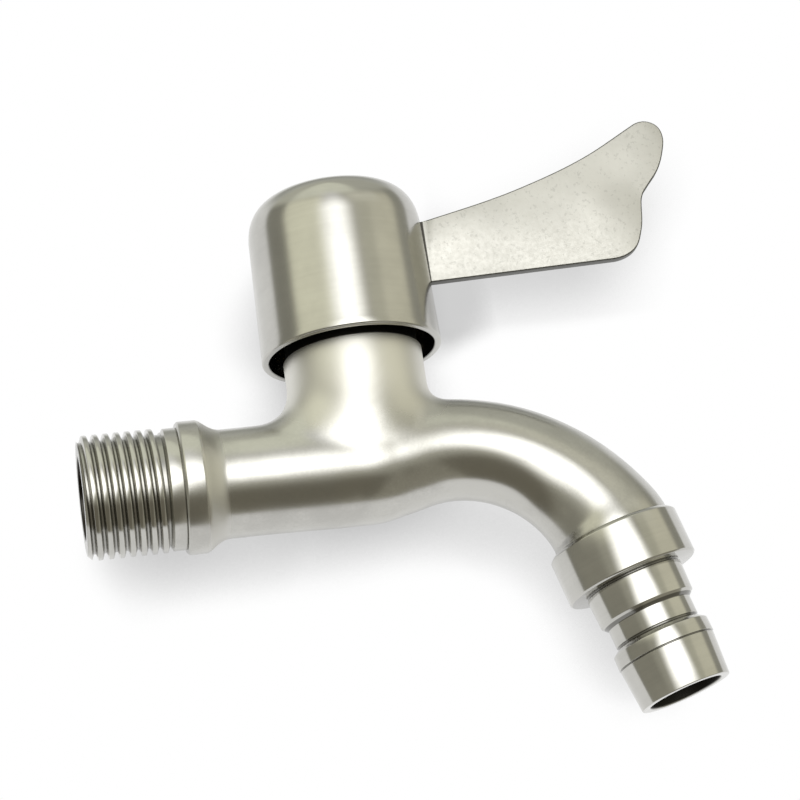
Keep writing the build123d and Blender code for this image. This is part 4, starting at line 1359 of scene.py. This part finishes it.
def table_material(stage):
    """A white table that shows only the soft shade of what lies near it."""
    material = bpy.data.materials.new("white_table")
    helper = fresh_nodes(material)
    values = {"Distance": stage.shade_reach, "Normal": helper.join(-0.05, -0.8, 0.6)}
    shade = helper.built("ShaderNodeAmbientOcclusion", values, samples=24)
    x, _, z = helper.split(object_place(helper))
    # weaker beside the cap, and weaker still by the lever, which stands off the table
    high = helper.ramp(z, 0.021, 0.030)
    lever = helper.times(high, helper.ramp(x, 0.060, 0.070))

    def lifted(value, mask, rise):
        return helper.maths("ADD", helper.times(mask, rise), value)

    full = lifted(lifted(0.71, high, 0.08), lever, 0.195)
    least, deepest = lifted(0.35, lever, 0.42), lifted(0.45, lever, 0.17)
    level = helper.ramp(shade.outputs["AO"], least, full, deepest, 1.0, smooth=False)
    camera, mirrored = helper.rays()
    geometry = helper.node("ShaderNodeNewGeometry")
    front = helper.maths("SUBTRACT", 1.0, geometry.outputs["Backfacing"])
    seen = helper.times(helper.maths("MAXIMUM", camera, mirrored), front)
    clear = helper.built("ShaderNodeBsdfTransparent", {"Color": helper.mix(seen, WHITE, level)})
    helper.close("ShaderNodeOutputMaterial", clear)
    return material


def make_table(stage):
    """The table the tap lies on, behind it as the camera sees it."""
    depth, half = stage.table_depth / MM, TABLE_HALF
    bm = bmesh.new()
    corners = ((-half, -half), (half, -half), (half, half), (-half, half))
    bm.faces.new([bm.verts.new((AIM.x + x, depth, AIM.z + z)) for x, z in corners])
    bmesh.ops.scale(bm, vec=(MM, MM, MM), verts=bm.verts)
    table = linked("table", to_mesh("table", bm))
    table.data.materials.append(table_material(stage))


def make_camera(stage):
    """The photograph's camera."""
    a, e = stage.azimuth, stage.elevation
    back = Vector((sin(a) * cos(e), -cos(a) * cos(e), sin(e)))
    right = Vector((cos(a), sin(a), 0.0))
    up = back.cross(right)
    across = cos(stage.roll) * right + sin(stage.roll) * up
    upwards = cos(stage.roll) * up - sin(stage.roll) * right
    centre = AIM + back * stage.distance / MM - across * AIM_LEFT + upwards * AIM_UP
    data = bpy.data.cameras.new("camera")
    data.sensor_width = 36.0
    data.lens = stage.lens
    data.clip_start = 0.01
    data.clip_end = 10.0
    camera = linked("camera", data)
    turn = Matrix((across, upwards, back)).transposed().to_4x4()
    camera.matrix_world = Matrix.Translation(centre * MM) @ turn
    bpy.context.scene.camera = camera


# ---- Operators ----


class TAP_OT_stage(bpy.types.Operator):
    """Sets up the table, the studio light and the camera."""

    bl_idname = "tap.stage"
    bl_label = "Stage"

    def execute(self, context):
        stage = context.scene.tap_stage
        context.scene.view_settings.view_transform = "Standard"
        studio_world(stage)
        make_table(stage)
        make_camera(stage)
        return {"FINISHED"}


class TAP_OT_casting(bpy.types.Operator):
    """Makes the casting and its pipe thread."""

    bl_idname = "tap.casting"
    bl_label = "Casting and thread"

    def execute(self, context):
        scene, finishes = context.scene, context.scene.tap_finishes
        satin = satin_steel("satin_casting_steel", finishes)
        cut = turned_steel(
            # the thread's root gets painted shade
            "cut_thread_steel", finishes, finishes.turned_roughness, (1, 0, 0), (0, 0, 0), root=9.4
        )
        casting = make_casting(scene.tap_casting, scene.tap_thread, satin)
        ridge = make_thread(scene.tap_thread, cut)
        for piece in (casting, ridge):
            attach(piece, "fixed")
            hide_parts("tap_body")
        return {"FINISHED"}


class TAP_OT_nozzle(bpy.types.Operator):
    """Makes the hose nozzle."""

    bl_idname = "tap.nozzle"
    bl_label = "Hose nozzle"

    def execute(self, context):
        finishes = context.scene.tap_finishes
        bright = turned_steel(
            "bright_turned_steel", finishes, finishes.turned_roughness,
            NOZZLE_AXIS, NOZZLE_ORIGIN, bore=context.scene.tap_nozzle.bore_radius / MM,
            # painted shade lines under the nozzle's steps
            corners=((8.62, 8.92), (14.5, 15.1), (18.24, 18.6), (21.92, 22.12)),
        )
        nozzle = make_nozzle(context.scene.tap_nozzle, bright)
        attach(nozzle, "fixed")
        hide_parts("hose_nozzle")
        return {"FINISHED"}


class TAP_OT_cap(bpy.types.Operator):
    """Makes the domed cap."""

    bl_idname = "tap.cap"
    bl_label = "Cap"

    def execute(self, context):
        finishes = context.scene.tap_finishes
        brushed = turned_steel(
            "brushed_cap_steel", finishes, finishes.cap_roughness, (0, 0, 1), (VALVE_X, 0, 0),
            anisotropy=0.4,
        )
        cap = make_cap(context.scene.tap_handle, brushed)
        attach(cap, "handle")
        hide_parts("handle_cap")
        return {"FINISHED"}


class TAP_OT_lever(bpy.types.Operator):
    """Makes the wing lever."""

    bl_idname = "tap.lever"
    bl_label = "Lever"

    def execute(self, context):
        finishes = context.scene.tap_finishes
        tumbled = tumbled_steel("tumbled_lever_steel", finishes)
        blade = make_blade(context.scene.tap_handle, tumbled)
        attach(blade, "handle")
        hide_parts("lever_blade")
        return {"FINISHED"}


class TAP_OT_inside(bpy.types.Operator):
    """Gives the pieces inside the tap their finishes."""

    bl_idname = "tap.inside"
    bl_label = "Pieces inside"

    def execute(self, context):
        finishes = context.scene.tap_finishes
        made = {
            "brass": plain_finish("machined_brass", finishes.brass, 0.26, 1.0, 2400.0, 0.1),
            "ceramic": plain_finish("lapped_ceramic", finishes.ceramic, 0.16, 0.0, 1600.0, 0.04),
            "rubber": plain_finish("seal_rubber", finishes.rubber, 0.62, 0.0, 1200.0, 0.2),
            "plastic": plain_finish("slip_plastic", finishes.plastic, 0.5, 0.0, 900.0, 0.1),
            "screw_steel": plain_finish("blackened_steel", finishes.screw, 0.38, 1.0, 2000.0),
        }
        for part in frame["record"]["subparts"]:
            material = made.get(part["material_slot"])
            if material:
                for slot in frame["nodes"][part["node"]].material_slots:
                    slot.material = material
        return {"FINISHED"}


class TAP_PT_panel(bpy.types.Panel):
    """Lists the tap's pieces, sizes and finishes."""

    bl_idname = "TAP_PT_panel"
    bl_label = "Bib Tap"
    bl_space_type = "VIEW_3D"
    bl_region_type = "UI"
    bl_category = "Bib Tap"

    def draw(self, context):
        layout = self.layout
        for operator in OPERATORS:
            layout.operator(operator.bl_idname)
        for name, group in GROUPS.items():
            box = layout.box()
            box.label(text=group.__doc__)
            settings = getattr(context.scene, name)
            for key in group.__annotations__:
                box.prop(settings, key)


GROUPS = {
    "tap_casting": TapCastingSizes,
    "tap_thread": TapThreadSizes,
    "tap_nozzle": TapNozzleSizes,
    "tap_handle": TapHandleSizes,
    "tap_finishes": TapFinishes,
    "tap_stage": TapStage,
}
OPERATORS = (
    TAP_OT_stage, TAP_OT_casting, TAP_OT_nozzle, TAP_OT_cap, TAP_OT_lever, TAP_OT_inside,
)


def register():
    """Registers the sizes, the operators and the panel."""
    for name, group in GROUPS.items():
        bpy.utils.register_class(group)
        setattr(bpy.types.Scene, name, PointerProperty(type=group))
    for operator in OPERATORS:
        bpy.utils.register_class(operator)
    bpy.utils.register_class(TAP_PT_panel)


def unregister():
    """Takes the panel, the operators and the sizes out again."""
    bpy.utils.unregister_class(TAP_PT_panel)
    for operator in reversed(OPERATORS):
        bpy.utils.unregister_class(operator)
    for name, group in GROUPS.items():
        delattr(bpy.types.Scene, name)
        bpy.utils.unregister_class(group)


def main():
    """Sets up the stage and makes every piece."""
    register()
    bpy.ops.tap.stage()
    bpy.ops.tap.casting()
    bpy.ops.tap.nozzle()
    bpy.ops.tap.cap()
    bpy.ops.tap.lever()
    bpy.ops.tap.inside()
    bpy.context.view_layer.update()


if __name__ == "__main__":
    main()
